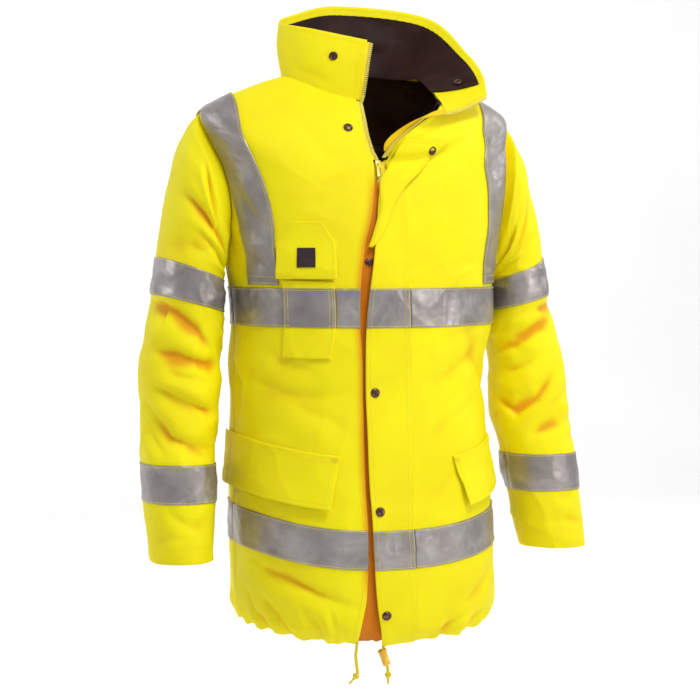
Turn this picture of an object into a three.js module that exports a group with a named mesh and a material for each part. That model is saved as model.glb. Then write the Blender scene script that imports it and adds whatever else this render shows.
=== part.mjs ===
// A hi-vis waterproof work jacket, filled out as it is when worn, zipped to the upper chest with the
// wearer's left side of the collar lying open. Millimetres. +X is the wearer's left, -Y the front and
// +Z up. The origin is the middle of the neck opening, level with the neck ends of the shoulder seams.
//
// The trunk is a family of rings, from the collar seam out over the shoulders and down to the hem. A
// place on it is (s, t): s is the distance in mm along the shoulder and down the side, and t is the
// angle round the wearer, 0 at the centre front, 90 at the side and 180 at the centre back.

import * as THREE from "three";
import { RoundedBoxGeometry } from "three/addons/geometries/RoundedBoxGeometry.js";

// Cloth and seams
const SHELL = 1.5; // coated shell cloth with its seam allowances
const DOUBLE = 2.2; // two layers sewn together, as in flaps
const LINING = 1.0;
const SEAM = 0.3; // gap between sewn neighbours
const LIFT = 0.7; // gap under what is sewn on a panel
const TAPE = 1.0; // wall of the reflective tape and its stitching

// Heights along the trunk, as distances s from the collar seam
const NECK = 0;
const SLIDER = 103;
const SHOULDER = 127;
const UNDERARM = 325;
const CHEST_TAPE = [353, 403];
const HEM_TAPE = [638, 688];
const ZIP_X = -8.5; // the zip's centre line
const GATHER_START = 735;
const HEM = 800;

const RAD = Math.PI / 180;
const v3 = (x, y, z) => new THREE.Vector3(x, y, z);
const mix = (a, b, u) => a + (b - a) * u;
const clamp01 = (u) => Math.min(1, Math.max(0, u));
const smooth = (a, b, x) => {
  const u = clamp01((x - a) / (b - a));
  return u * u * (3 - 2 * u);
};

// A smooth curve through the rows of a table: its first column is the place, the others are sizes.
function through(rows) {
  const slope = (i, c) => {
    const a = rows[Math.max(0, i - 1)];
    const b = rows[Math.min(rows.length - 1, i + 1)];
    return (b[c] - a[c]) / (b[0] - a[0]);
  };
  return (x, column = 1) => {
    let i = 0;
    while (i < rows.length - 2 && x > rows[i + 1][0]) i += 1;
    const span = rows[i + 1][0] - rows[i][0];
    const u = clamp01((x - rows[i][0]) / span);
    const [p, q] = [rows[i][column], rows[i + 1][column]];
    const [m, n] = [slope(i, column) * span, slope(i + 1, column) * span];
    return p + u * (m + u * (3 * (q - p) - 2 * m - n + u * (2 * (p - q) + m + n)));
  };
}

// The trunk's rings. z is the height at the side, front and back; y the depth there; square is the
// exponent of the rounded outline, 2 for an ellipse.
const COLUMNS = ["s", "zSide", "zFront", "zBack", "half", "yFront", "ySide", "yBack", "square"];
const RINGS = [
  [0, 0, -35, 14, 97, -38, 42, 112, 2.0],
  [45, -14, -68, -20, 139, -68, 40, 134, 2.0],
  [88, -30, -103, -58, 177, -93, 40, 149, 2.0],
  [127, -52, -134, -98, 211, -108, 40, 157, 2.0],
  [165, -90, -160, -135, 207, -120, 34, 160, 2.05],
  [225, -150, -200, -185, 197, -132, 24, 158, 2.1],
  [285, -210, -240, -228, 187, -139, 14, 152, 2.1],
  [325, -250, -264, -258, 181, -142, 7, 146, 2.1],
  [353, -280, -281, -280, 178, -143, 0, 142, 2.1],
  [403, -330, -331, -330, 175, -144, -2, 136, 2.1],
  [478, -405, -411, -403, 169, -143, -6, 124, 2.2],
  [553, -480, -497, -476, 170, -150, -8, 130, 2.35],
  [638, -565, -589, -557, 173.5, -156, -8, 138, 2.4],
  [688, -615, -639, -607, 175, -157, -8, 139, 2.4],
  [745, -672, -694, -664, 176, -154, -8, 137, 2.4],
  [775, -702, -721, -694, 173, -147, -8, 132, 2.35],
  [800, -722, -738, -716, 162, -135, -8, 121, 2.3],
];
// The trunk leans a little to the wearer's right at the waist.
const LEAN = through([
  [0, 0], [140, 0], [195, 5], [255, 5], [300, 1], [330, 0], [403, 0], [455, -8], [540, -8], [600, -5],
  [680, -4], [HEM, 1],
]);
const ringAt = through(RINGS);
const ring = (s) => Object.fromEntries(COLUMNS.slice(1).map((name, i) => [name, ringAt(s, i + 1)]));

// Where the opened zip edge lies, from the slider to the collar seam, on the wearer's left. The
// trunk's own front edge is pulled there, and the cloth beside it follows.
const OPEN_EDGE = through([
  [0, 90, -86, -56],
  [30, 62, -99, -62],
  [60, 36, -107, -77],
  [85, 12, -110, -97],
  [SLIDER + 12, 2, -104, -121],
]);
const OPEN_FLAT = 0.25; // how much of the ring's own roundness is left at the opened neck

// Soft folds on the trunk. The columns are s and t at the start, s and t at the end, the width and the
// depth. t is negative on the wearer's right.
const TRUNK_FOLDS = [
  [420, -50, 500, -12, 20, 5],
  [455, -80, 520, -38, 22, 4],
  [410, 24, 470, 62, 20, 5],
  [455, 14, 520, 40, 18, 4],
  [700, -70, 742, -22, 22, 6],
  [705, 36, 735, 66, 18, 5],
  [330, -82, 352, -50, 14, 3],
  [190, 125, 320, 158, 26, 5],
  [190, -125, 320, -158, 26, 5],
  [420, 120, 505, 172, 26, 6],
  [430, -112, 520, -165, 26, 6],
  [500, 150, 560, 205, 22, 4],
  [700, 110, 745, 160, 24, 6],
  [705, -120, 748, -175, 24, 6],
];
const MM_PER_DEGREE = 2.9; // round the trunk

function alongFold(table, place, depthOf) {
  let sum = 0;
  for (const [s0, t0, s1, t1, width, depth] of table) {
    const [ds, dt] = [s1 - s0, (t1 - t0) * MM_PER_DEGREE];
    const turn = Math.round((t0 + t1) / 2 - place.t) / 360;
    const t = place.t + Math.round(turn) * 360;
    const [ps, pt] = [place.s - s0, (t - t0) * MM_PER_DEGREE];
    const u = (ps * ds + pt * dt) / (ds * ds + dt * dt);
    const off = Math.abs(ps * dt - pt * ds) / Math.hypot(ds, dt);
    const fade = smooth(-0.25, 0.3, u) * (1 - smooth(0.7, 1.25, u));
    sum -= depthOf(depth) * fade * Math.exp(-((off / width) ** 2));
  }
  return sum;
}

// The gathers that the drawcord pulls into the hem: uneven waves, deepest at the edge.
const GATHERS = 23;
const GATHER_DEPTH = 5.5;
function gather(s, t) {
  const grown = smooth(GATHER_START, HEM, s);
  const uneven = 9 * Math.sin(2 * t * RAD + 0.6) + 5 * Math.sin(5 * t * RAD);
  const front = Math.abs(((((t + 180) % 360) + 360) % 360) - 180);
  const strength = (0.72 + 0.28 * Math.sin(3 * t * RAD + 1.1)) * smooth(14, 24, front);
  return GATHER_DEPTH * grown * strength * Math.sin(GATHERS * (t + uneven * 0.35) * RAD);
}

// The trunk's outer face without its thickness, at a signed angle t.
function trunkPoint(s, t) {
  const r = ring(Math.max(s, NECK));
  const side = Math.abs(((((t + 180) % 360) + 360) % 360) - 180); // 0 at the front, 180 at the back
  const [sin, cos] = [Math.sin(t * RAD), Math.cos(t * RAD)];
  const power = 2 / r.square;
  const [yEnd, zEnd] = side < 90 ? [r.yFront, r.zFront] : [r.yBack, r.zBack];
  const across = Math.abs(cos) ** power;
  const p = v3(
    LEAN(s) + r.half * Math.sign(sin) * Math.abs(sin) ** power,
    mix(r.ySide, yEnd, across),
    mix(r.zSide, zEnd, cos * cos),
  );
  const angle = ((((t + 180) % 360) + 360) % 360) - 180;
  if (angle > -1 && angle < 90 && s < SLIDER + 12) {
    const side90 = v3(LEAN(s) + r.half, r.ySide, r.zSide);
    const home = v3(LEAN(s), r.yFront, r.zFront).sub(side90);
    const off = p.clone().sub(side90);
    const along = off.dot(home) / home.lengthSq();
    const bulge = off.addScaledVector(home, -along);
    const pulled = v3(OPEN_EDGE(s, 1), OPEN_EDGE(s, 2), OPEN_EDGE(s, 3)).sub(side90);
    pulled.lerp(home, smooth(SLIDER - 8, SLIDER + 12, s));
    const fullness = mix(OPEN_FLAT, 1, smooth(0, SLIDER, s));
    return side90.addScaledVector(pulled, along).addScaledVector(bulge, fullness);
  }
  return p;
}

// A point on the trunk with its outward direction, folds and gathers included.
function trunk(s, t) {
  const bumped = (a, b) => {
    const centre = trunkPoint(a, b);
    const da = trunkPoint(a + 1, b).sub(trunkPoint(a - 1, b));
    const db = trunkPoint(a, b + 0.5).sub(trunkPoint(a, b - 0.5));
    const out = db.cross(da).normalize();
    const proud = alongFold(TRUNK_FOLDS, { s: a, t: b }, (d) => d) + gather(a, b);
    return centre.addScaledVector(out, proud);
  };
  const down = bumped(s + 2, t).sub(bumped(s - 2, t));
  const round = bumped(s, t + 1).sub(bumped(s, t - 1));
  return { p: bumped(s, t), n: round.cross(down).normalize().negate() };
}

// The angle t at which a ring reaches x on the front.
function angleAt(s, x) {
  const r = ring(s);
  const dx = x - LEAN(s);
  return (Math.sign(dx) * Math.asin(Math.min(1, (Math.abs(dx) / r.half) ** (r.square / 2)))) / RAD;
}

// The place (s, t) on the front where the trunk has this x and z, by Newton steps.
function placeAt(x, z) {
  let [s, t] = [Math.max(20, -z + 73), (x / 170) * 60];
  for (let step = 0; step < 30; step += 1) {
    const here = trunkPoint(s, t);
    const ds = trunkPoint(s + 1, t).sub(here);
    const dt = trunkPoint(s, t + 1).sub(here);
    const det = ds.x * dt.z - dt.x * ds.z || 1e-6;
    const [ex, ez] = [x - here.x, z - here.z];
    s += THREE.MathUtils.clamp((ex * dt.z - ez * dt.x) / det, -25, 25);
    t += THREE.MathUtils.clamp((ds.x * ez - ds.z * ex) / det, -12, 12);
    s = THREE.MathUtils.clamp(s, 1, HEM);
  }
  return [s, t];
}
const frontAt = (x, z) => trunk(...placeAt(x, z));

// A closed solid from a grid of face points. Each row is a list of {p, n}; the outer face is moved
// out by lift plus the wall and the inner face by lift. Rows may differ in count.
function wall(rows, thick, { lift = 0, round = false } = {}) {
  const points = [];
  const add = (place, out) => {
    points.push(place.p.clone().addScaledVector(place.n, out));
    return points.length - 1;
  };
  const outer = rows.map((row) => row.map((place) => add(place, lift + (place.thick ?? thick))));
  const inner = rows.map((row) => row.map((place) => add(place, lift)));
  const faces = [];
  const quad = (a, b, c, d) => faces.push([a, b, c], [a, c, d]);
  const strip = (a, b, flip) => {
    const [na, nb] = [a.length - 1, b.length - 1];
    let [i, j] = [0, 0];
    while (i < na || j < nb) {
      const first = j === nb || (i < na && (i + 1) / na <= (j + 1) / nb + 1e-9);
      const face = first ? [a[i], b[j], a[i + 1]] : [a[i], b[j], b[j + 1]];
      if (first) i += 1;
      else j += 1;
      faces.push(flip ? face.reverse() : face);
    }
  };
  const loop = (row) => (round ? [...row, row[0]] : row);
  for (let i = 0; i + 1 < rows.length; i += 1) {
    strip(loop(outer[i]), loop(outer[i + 1]), false);
    strip(loop(inner[i]), loop(inner[i + 1]), true);
    if (round) continue;
    const [o, n] = [outer[i], outer[i + 1]];
    const [p, q] = [inner[i], inner[i + 1]];
    quad(o[0], p[0], q[0], n[0]);
    quad(n.at(-1), q.at(-1), p.at(-1), o.at(-1));
  }
  for (const [o, p, flip] of [
    [loop(outer[0]), loop(inner[0]), true],
    [loop(outer.at(-1)), loop(inner.at(-1)), false],
  ])
    for (let j = 0; j + 1 < o.length; j += 1)
      if (flip) quad(o[j], o[j + 1], p[j + 1], p[j]);
      else quad(o[j], p[j], p[j + 1], o[j + 1]);
  return solid(points, faces);
}

function solid(points, faces) {
  let volume = 0;
  for (const [a, b, c] of faces) volume += points[a].dot(points[b].clone().cross(points[c]));
  const order = volume < 0 ? [0, 2, 1] : [0, 1, 2];
  const position = faces.flatMap((f) => order.flatMap((k) => points[f[k]].toArray()));
  return new THREE.BufferGeometry().setAttribute("position", new THREE.Float32BufferAttribute(position, 3));
}

const span = (a, b, steps) => Array.from({ length: steps + 1 }, (_, i) => mix(a, b, i / steps));
const levels = (list) => {
  const stretches = list.slice(1).map(([s, steps], i) => span(list[i][0], s, steps).slice(1));
  return [list[0][0], ...stretches.flat()];
};

// Colours and finishes
const cloth = (color, roughness = 0.8) => new THREE.MeshStandardMaterial({ color, roughness, metalness: 0 });
const YELLOW = cloth(0xf2ea10);
const SILVER = new THREE.MeshStandardMaterial({ color: 0x97918f, roughness: 0.45, metalness: 0.2 });
const DARK = cloth(0x2a1b19);
const BADGE = cloth(0x2b1a22);
const BRASS = new THREE.MeshStandardMaterial({ color: 0x6b4a44, roughness: 0.35, metalness: 0.9 });
const ZIP = cloth(0xe6dc1c, 0.55);
const CORD_CLOTH = cloth(0xe3cf1a, 0.85);

const jacket = new THREE.Group();
function piece(name, geometry, material) {
  const mesh = new THREE.Mesh(geometry, material);
  mesh.name = name;
  jacket.add(mesh);
  return mesh;
}

// Trunk panels
const HALF_SEAM_DEGREES = 0.06; // half of a seam gap round the trunk
const ARMHOLE_FRONT = 15;
const ARMHOLE_BACK = 26;
const armhole = (s) => Math.sin(Math.PI * clamp01((s - SHOULDER) / (UNDERARM - SHOULDER)));
const sideFront = (s) => 90 - HALF_SEAM_DEGREES - ARMHOLE_FRONT * armhole(s);
const sideBack = (s) => 90 + HALF_SEAM_DEGREES + ARMHOLE_BACK * armhole(s);

// The free front edges, as x across the centre line. The right one ends in a folded edge beside the
// zip, and its lowest corner is drawn aside by the cord.
const RIGHT_EDGE = through([
  [0, -18], [38, -20], [64, -21], [88, -19], [SLIDER, -15], [130, -15.5], [158, -18], [216, -26],
  [274, -37], [336, -42.5], [405, -44], [453, -41], [577, -41], [647, -38], [725, -40], [766, -45],
  [HEM, -46],
]);
const LEFT_EDGE = 8;
const TRUNK_LEVELS = [
  0, 28, 58, 88, 108, 127, 146, 165, 195, 225, 255, 285, 325, 353, 378, 403, 440, 478, 515, 553,
  595, 638, 663, 688, 712, 735, 760, 780, HEM,
];
const FRONT_COLUMNS = 11;
const BACK_COLUMNS = 20;
const columnsAt = (s, plain) => (s >= GATHER_START ? plain * 2 : plain);

function frontPanel(side) {
  return TRUNK_LEVELS.map((s) => {
    const leftEdge = s < SLIDER ? 0 : LEFT_EDGE * smooth(SLIDER - 5, 150, s);
    const inner = side < 0 ? angleAt(s, RIGHT_EDGE(s)) : Math.max(0.4, angleAt(s, leftEdge));
    const outer = side * sideFront(s);
    return span(inner, outer, columnsAt(s, FRONT_COLUMNS)).map((t) => trunk(s, t));
  });
}
const backPanel = (rows = TRUNK_LEVELS) =>
  rows.map((s) => span(sideBack(s), 360 - sideBack(s), columnsAt(s, BACK_COLUMNS)).map((t) => trunk(s, t)));

piece("front_right", wall(frontPanel(-1), -SHELL), YELLOW);
piece("front_left", wall(frontPanel(1), -SHELL), YELLOW);
piece("back", wall(backPanel(), -SHELL), YELLOW);

// Sleeves: the armhole's own outline first, then rings down the arm. The columns are the run down the
// arm, x, y and z of the ring's outer point, x, y and z of its inner point, and half its depth. x is
// outward, and the wearer's left arm hangs a little further out.
const SLEEVE_RINGS = [
  [18, 227, 39, -70, 187, 8, -253.5, 66],
  [48, 243, 36, -104, 190, 9, -257, 69],
  [88, 254, 32, -150, 191, 10, -261, 70],
  [128, 265, 28, -196, 190, 12, -266, 69],
  [165, 274, 24, -241, 189, 14, -272, 67],
  [215, 280, 20, -290, 188, 12, -314, 65],
  [262, 290, 14, -345, 190, 8, -349, 62],
  [305, 300, 8, -389, 196, 4, -391, 60],
  [355, 299, 2, -440, 197, 0, -440, 58],
  [399, 301, -4, -485, 203, -6, -485, 56],
  [422, 301, -8, -508, 205, -10, -508, 55],
  [472, 300, -13, -558, 206, -15, -558, 53],
  [512, 297, -17, -600, 208, -19, -600, 50],
  [548, 293, -21, -636, 213, -23, -635, 46],
];
const UPPER_TAPE = [165, 215];
const LOWER_TAPE = [422, 472];
const CUFF = 548;
// How much further out the wearer's left arm hangs, by height: at its outer line and its inner line.
const LEFT_LEAN = through([
  [60, -6, 0], [139, -10, 0], [192, -12, -2], [246, -12, -5], [300, -10, -6], [353, -10, -7],
  [407, -9, -8], [460, -5, -11], [514, 1, -5], [567, 8, 2], [621, 18, 8], [645, 21, 10],
]);
const sleeveRing = through(SLEEVE_RINGS);
// Folds on a sleeve: from (run, angle) to (run, angle), width, depth. 0 is the outer line, 90 the front.
const SLEEVE_FOLDS = [
  [60, 60, 150, 112, 15, 8],
  [232, 20, 262, 110, 14, 6],
  [262, 60, 330, 125, 16, 8],
  [330, 40, 372, 120, 15, 7],
  [372, 55, 402, 135, 13, 6],
  [300, 215, 350, 300, 15, 6],
  [360, 230, 330, 310, 14, 5],
  [70, 225, 150, 285, 16, 7],
  [492, 60, 520, 120, 15, 3],
];
const SLEEVE_MM_PER_DEGREE = 1.0;

function sleevePoint(side, run, angle) {
  const at = (c) => sleeveRing(Math.max(run, SLEEVE_RINGS[0][0]), c);
  const top = v3(at(1), at(2), at(3));
  const low = v3(at(4), at(5), at(6));
  if (side > 0) {
    top.x += LEFT_LEAN(-top.z, 1);
    low.x += LEFT_LEAN(-low.z, 2);
  }
  const centre = top.clone().add(low).multiplyScalar(0.5);
  const reach = top.clone().sub(low).multiplyScalar(0.5);
  const [sin, cos] = [Math.sin(angle * RAD), Math.cos(angle * RAD)];
  const p = centre.addScaledVector(reach, Math.sign(cos) * Math.abs(cos) ** 0.94);
  p.y -= at(7) * Math.sign(sin) * Math.abs(sin) ** 0.94;
  p.x *= side;
  return p;
}
// The armhole seam on the trunk, at the same angles.
function armholePoint(side, angle) {
  const q = (1 - Math.cos(angle * RAD)) / 2;
  const s = mix(SHOULDER, UNDERARM, q);
  const t = Math.sin(angle * RAD) >= 0 ? sideFront(s) : sideBack(s);
  return trunk(s, side * t);
}
function sleeve(side, run, angle) {
  const dent = (a, b) => {
    let sum = 0;
    for (const [r0, a0, r1, a1, width, depth] of SLEEVE_FOLDS) {
      const [dr, da] = [r1 - r0, (a1 - a0) * SLEEVE_MM_PER_DEGREE];
      const [pr, pa] = [a - r0, (b - a0) * SLEEVE_MM_PER_DEGREE];
      const u = (pr * dr + pa * da) / (dr * dr + da * da);
      const off = Math.abs(pr * da - pa * dr) / Math.hypot(dr, da);
      sum += depth * smooth(-0.2, 0.3, u) * (1 - smooth(0.7, 1.2, u)) * Math.exp(-((off / width) ** 2));
    }
    return sum;
  };
  const face = (a, b) => {
    const turn = ((b % 360) + 360) % 360;
    const along = sleevePoint(side, a + 1, b).sub(sleevePoint(side, a, b));
    const across = sleevePoint(side, a, b + 1).sub(sleevePoint(side, a, b - 1));
    const out = along.cross(across).normalize().multiplyScalar(-side);
    return sleevePoint(side, a, b).addScaledVector(out, -dent(a, turn));
  };
  const along = face(run + 2, angle).sub(face(run - 2, angle));
  const across = face(run, angle + 2).sub(face(run, angle - 2));
  return { p: face(run, angle), n: along.cross(across).normalize().multiplyScalar(-side) };
}
const SLEEVE_LEVELS = [
  18, 40, 64, 88, 108, 128, 146, 165, 190, 215, 239, 262, 284, 306, 330, 355, 377, 399, 422, 447, 472, 498, 524, CUFF,
];
const SLEEVE_COLUMNS_ROUND = 18;
const roundAngles = span(0, 360, SLEEVE_COLUMNS_ROUND).slice(0, -1);
// The seam ring stands just outside the armhole, clear of the panels' edges.
function sleeveHead(side) {
  return roundAngles.map((angle) => {
    const seam = armholePoint(side, angle);
    const next = sleeve(side, SLEEVE_RINGS[0][0], angle);
    const away = next.p.clone().sub(seam.p).normalize();
    const p = seam.p.clone().addScaledVector(away, 2 * SEAM + SHELL * 0.6);
    return { p, n: seam.n.clone().lerp(next.n, 0.35).normalize() };
  });
}
for (const [name, side] of [["right", -1], ["left", 1]]) {
  const below = SLEEVE_LEVELS.map((run) => roundAngles.map((a) => sleeve(side, run, a)));
  const rows = [sleeveHead(side), ...below];
  piece(`sleeve_${name}`, wall(rows, -SHELL, { round: true }), YELLOW);
  for (const [place, tape] of [["upper", UPPER_TAPE], ["lower", LOWER_TAPE]]) {
    const runs = SLEEVE_LEVELS.filter((run) => run >= tape[0] && run <= tape[1]);
    const tapeRows = runs.map((run) => roundAngles.map((a) => sleeve(side, run, a)));
    piece(`tape_sleeve_${place}_${name}`, wall(tapeRows, TAPE, { lift: SEAM, round: true }), SILVER);
  }
}

// Collar: a stand 80 mm high. The table gives where its top edge lies over each place round the neck.
const COLLAR_TOP = through([
  [-9, -3, -36, 44],
  [-45, -66, 0, 60],
  [-90, -96, 58, 73],
  [-135, -66, 110, 89],
  [-180, 8, 136, 106],
  [-225, 127, 101, 90],
  [-270, 163, 30, 34],
  [-315, 168, -14, 2],
  [-358, 160, -50, -28],
].map(([t, ...rest]) => [-t, ...rest]));
const COLLAR_ENDS = [9, 358];
const COLLAR_BULGE = 4;
function collarPoint(turn, up) {
  const base = trunkPoint(NECK, turn >= 357.5 ? 0.5 : -turn);
  const top = v3(COLLAR_TOP(turn, 1), COLLAR_TOP(turn, 2), COLLAR_TOP(turn, 3));
  return base.lerp(top, up);
}
function collar(turn, up) {
  const along = collarPoint(Math.min(turn + 2, 357), up).sub(collarPoint(Math.min(turn, 355) - 2, up));
  const rise = collarPoint(turn, 1).sub(collarPoint(turn, 0));
  const n = rise.cross(along).normalize();
  return { p: collarPoint(turn, up).addScaledVector(n, COLLAR_BULGE * Math.sin(Math.PI * up)), n };
}
const COLLAR_RISE = [0.022, 0.25, 0.5, 0.75, 1];
const collarTurns = span(COLLAR_ENDS[0], COLLAR_ENDS[1], 30);
piece("collar", wall(COLLAR_RISE.map((up) => collarTurns.map((turn) => collar(turn, up))), -DOUBLE), YELLOW);
const LINED_RISE = [0.08, 0.25, 0.5, 0.75, 0.86];
const linedRows = LINED_RISE.map((up) => span(24, mix(312, 332, up), 26).map((turn) => collar(turn, up)));
piece("collar_lining", wall(linedRows, -LINING, { lift: -DOUBLE - 1.1 }), DARK);

// Dark lining where it shows through the neck: round the shoulders, and down the inside of the back.
const LINING_DEEP = -SHELL - 4.5;
const YOKE_TURN = [24, 341];
const liningRows = (list, from, to, columns) =>
  list.map((s) => span(from(s), to(s), columns).map((t) => trunk(s, t)));
const yokeRows = liningRows([8, 20, 36, 58, 84, 102, 118], () => YOKE_TURN[0], () => YOKE_TURN[1], 32);
// Its neck edge is sewn up against the shell.
yokeRows[0] = yokeRows[0].map(({ p, n }) => ({ p: p.addScaledVector(n, -LINING_DEEP - SHELL - 0.9), n }));
piece("lining_yoke", wall(yokeRows, -LINING, { lift: LINING_DEEP }), DARK);
const backLiningRows = liningRows(
  [118.7, 146, 165, 195, 225, 255, 285, 325],
  (s) => sideBack(s) + 3,
  (s) => 357 - sideBack(s),
  16,
);
piece("lining_back", wall(backLiningRows, -LINING, { lift: LINING_DEEP }), DARK);

// Zip guard on the wearer's right: the strip that shows beside the folded front edge.
const strip = (rows, left, right, steps = 2) =>
  rows.map((s) => span(angleAt(s, left(s)), angleAt(s, right(s)), steps).map((t) => trunk(s, t)));
const GUARD_DEEP = -SHELL - 1;
const GUARD_LEVELS = levels([[138, 0], [215, 4], [403, 6], [638, 8], [735, 4], [785, 3]]);
piece(
  "zip_guard",
  wall(strip(GUARD_LEVELS, (s) => RIGHT_EDGE(s) - 6, () => ZIP_X - 1), -1.2, { lift: GUARD_DEEP }),
  YELLOW,
);

// Zip tapes: closed up to the slider, then one on each side of the opening and up the collar's edges.
const TAPE_LEVELS = levels([[SLIDER + 4, 0], [215, 5], [403, 6], [638, 8], [735, 4], [780, 2]]);
const UNDER_GUARD = GUARD_DEEP - 1.2 - 3 * SEAM;
const closedRight = strip(TAPE_LEVELS, () => ZIP_X - 13, () => ZIP_X - 0.8, 1);
const closedLeft = strip(TAPE_LEVELS, () => ZIP_X + 0.8, () => ZIP_X + 16, 1);
piece("zip_tape_right", wall(closedRight, -0.9, { lift: UNDER_GUARD }), ZIP);
piece("zip_tape_left", wall(closedLeft, -0.9, { lift: UNDER_GUARD }), ZIP);

const OPEN_TAPE_LEVELS = levels([[6, 0], [SLIDER - 4, 7]]);
const TAPE_SHOWS = 5;
piece(
  "zip_tape_open_right",
  wall(
    strip(OPEN_TAPE_LEVELS, (s) => RIGHT_EDGE(s) - 4, (s) => RIGHT_EDGE(s) + TAPE_SHOWS, 1),
    -0.9,
    { lift: -SHELL - 1.2 },
  ),
  ZIP,
);
// On the wearer's left the tape stands out past the pulled edge, in the panel's own plane.
function besideOpenEdge(s, out) {
  const edge = trunk(s, 0.6);
  const inward = trunk(s, 8).p.sub(edge.p).normalize();
  return { p: edge.p.addScaledVector(inward, -out), n: edge.n };
}
piece(
  "zip_tape_open_left",
  wall(
    OPEN_TAPE_LEVELS.map((s) => [-4, TAPE_SHOWS].map((out) => besideOpenEdge(s, out))),
    -0.9,
    { lift: -SHELL - 1.5 },
  ),
  ZIP,
);
// The wind guard behind the zip stands out further, into the neck opening.
const GUARD_OUT = through([[14, 8], [40, 23], [70, 22], [SLIDER - 4, 9]]);
piece(
  "zip_guard_open",
  wall(
    span(14, SLIDER - 6, 8).map((s) => [-9, 0.5 * GUARD_OUT(s), GUARD_OUT(s)].map((out) => besideOpenEdge(s, out))),
    -1.2,
    { lift: -SHELL - 3.4 },
  ),
  YELLOW,
);
function besideCollar(turn, inner, up, out) {
  const edge = collar(turn, up);
  const away = collar(turn, up).p.sub(collar(inner, up).p).normalize();
  return { p: edge.p.addScaledVector(away, out), n: edge.n };
}
for (const [name, turn, inner] of [["right", COLLAR_ENDS[0], 18], ["left", COLLAR_ENDS[1], 350]]) {
  const rows = span(0.12, 0.97, 5).map((up) => [-4, TAPE_SHOWS].map((out) => besideCollar(turn, inner, up, out)));
  piece(`zip_tape_collar_${name}`, wall(rows, -0.8, { lift: -DOUBLE - 0.6 }), ZIP);
}

// Storm flap: sewn on the wearer's left of the zip, its free edge on the right. Above the chest it is
// folded back on itself, so its underside shows there.
const FLAP_SEAM = through([
  [120, 21], [155, 22], [206, 20], [275, 19.5], [353, 22], [431, 25], [525, 23], [600, 22], [677, 27],
  [738, 31],
]);
const FLAP_FREE = through([
  [247, -27], [295, -34], [346, -38], [397, -38.5], [460, -37.5], [523, -37], [573, -34],
  [636, -31], [688, -26], [738, -15],
]);
const FOLD_LINE = through([[132, -2], [142, -8], [161, -14], [181, -17.5], [205, -21], [247, -27]]);
const FLAP_LIFT = [0.6, 2.6]; // at the seam and at the free edge
function onFlap(z, u) {
  const free = z > -247 ? FOLD_LINE(-z) : FLAP_FREE(-z);
  const place = frontAt(mix(free, FLAP_SEAM(-z), u), z);
  return { p: place.p.addScaledVector(place.n, mix(FLAP_LIFT[1], FLAP_LIFT[0], u)), n: place.n };
}
const FLAP_FOOT = [HEM - 1.5, 790, 780, 760, 735, 712].map((s) => ring(s).zFront);
const CHEST_TAPE_Z = [-281, -331];
const HEM_TAPE_Z = [-589, -639];
const ABOVE_FOOT = levels([
  [HEM_TAPE_Z[1], 0],
  [HEM_TAPE_Z[0], 2],
  [-420, 6],
  [CHEST_TAPE_Z[1], 3],
  [CHEST_TAPE_Z[0], 2],
  [-247, 1],
  [-186, 2],
  [-136, 2],
]);
const FLAP_LEVELS = FLAP_FOOT.concat(ABOVE_FOOT);
const FLAP_ACROSS = [0, 0.33, 0.67, 1];
const flapRows = (list) => list.map((z) => FLAP_ACROSS.map((u) => onFlap(z, u)));
piece("storm_flap", wall(flapRows(FLAP_LEVELS), DOUBLE), YELLOW);
for (const [name, [top, low]] of [["chest", CHEST_TAPE_Z], ["hem", HEM_TAPE_Z]]) {
  const list = FLAP_LEVELS.filter((z) => z <= top + 0.01 && z >= low - 0.01);
  piece(`tape_${name}_flap`, wall(flapRows(list), TAPE, { lift: DOUBLE + SEAM }), SILVER);
}
// The part turned back: from the fold at (s, t) to the free edge at (s, t), row by row.
const TURNED = [
  [262, -9.2, 268, -6.9],
  [232, -7, 237, -4],
  [197, -4.7, 188, 0.2],
  [166, -3.4, 156, 5.5],
  [140, -2, 132, 12],
  [114, 1.4, 112, 18.5],
  [92, 1.6, 103, 24.5],
  [74, 1.6, 94, 30],
];
const turnedRows = TURNED.map(([sFold, tFold, sFree, tFree], i) =>
  span(0, 1, 4).map((u) => {
    const place = trunk(mix(sFold, sFree, u), mix(tFold, tFree, u));
    const over = i < 5 ? FLAP_LIFT[1] + DOUBLE + 1.2 : 2.6;
    return { p: place.p.addScaledVector(place.n, over - 1.4 * smooth(0.4, 1, u)), n: place.n };
  }),
);
piece("storm_flap_turned_back", wall(turnedRows, DOUBLE), YELLOW);

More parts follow.
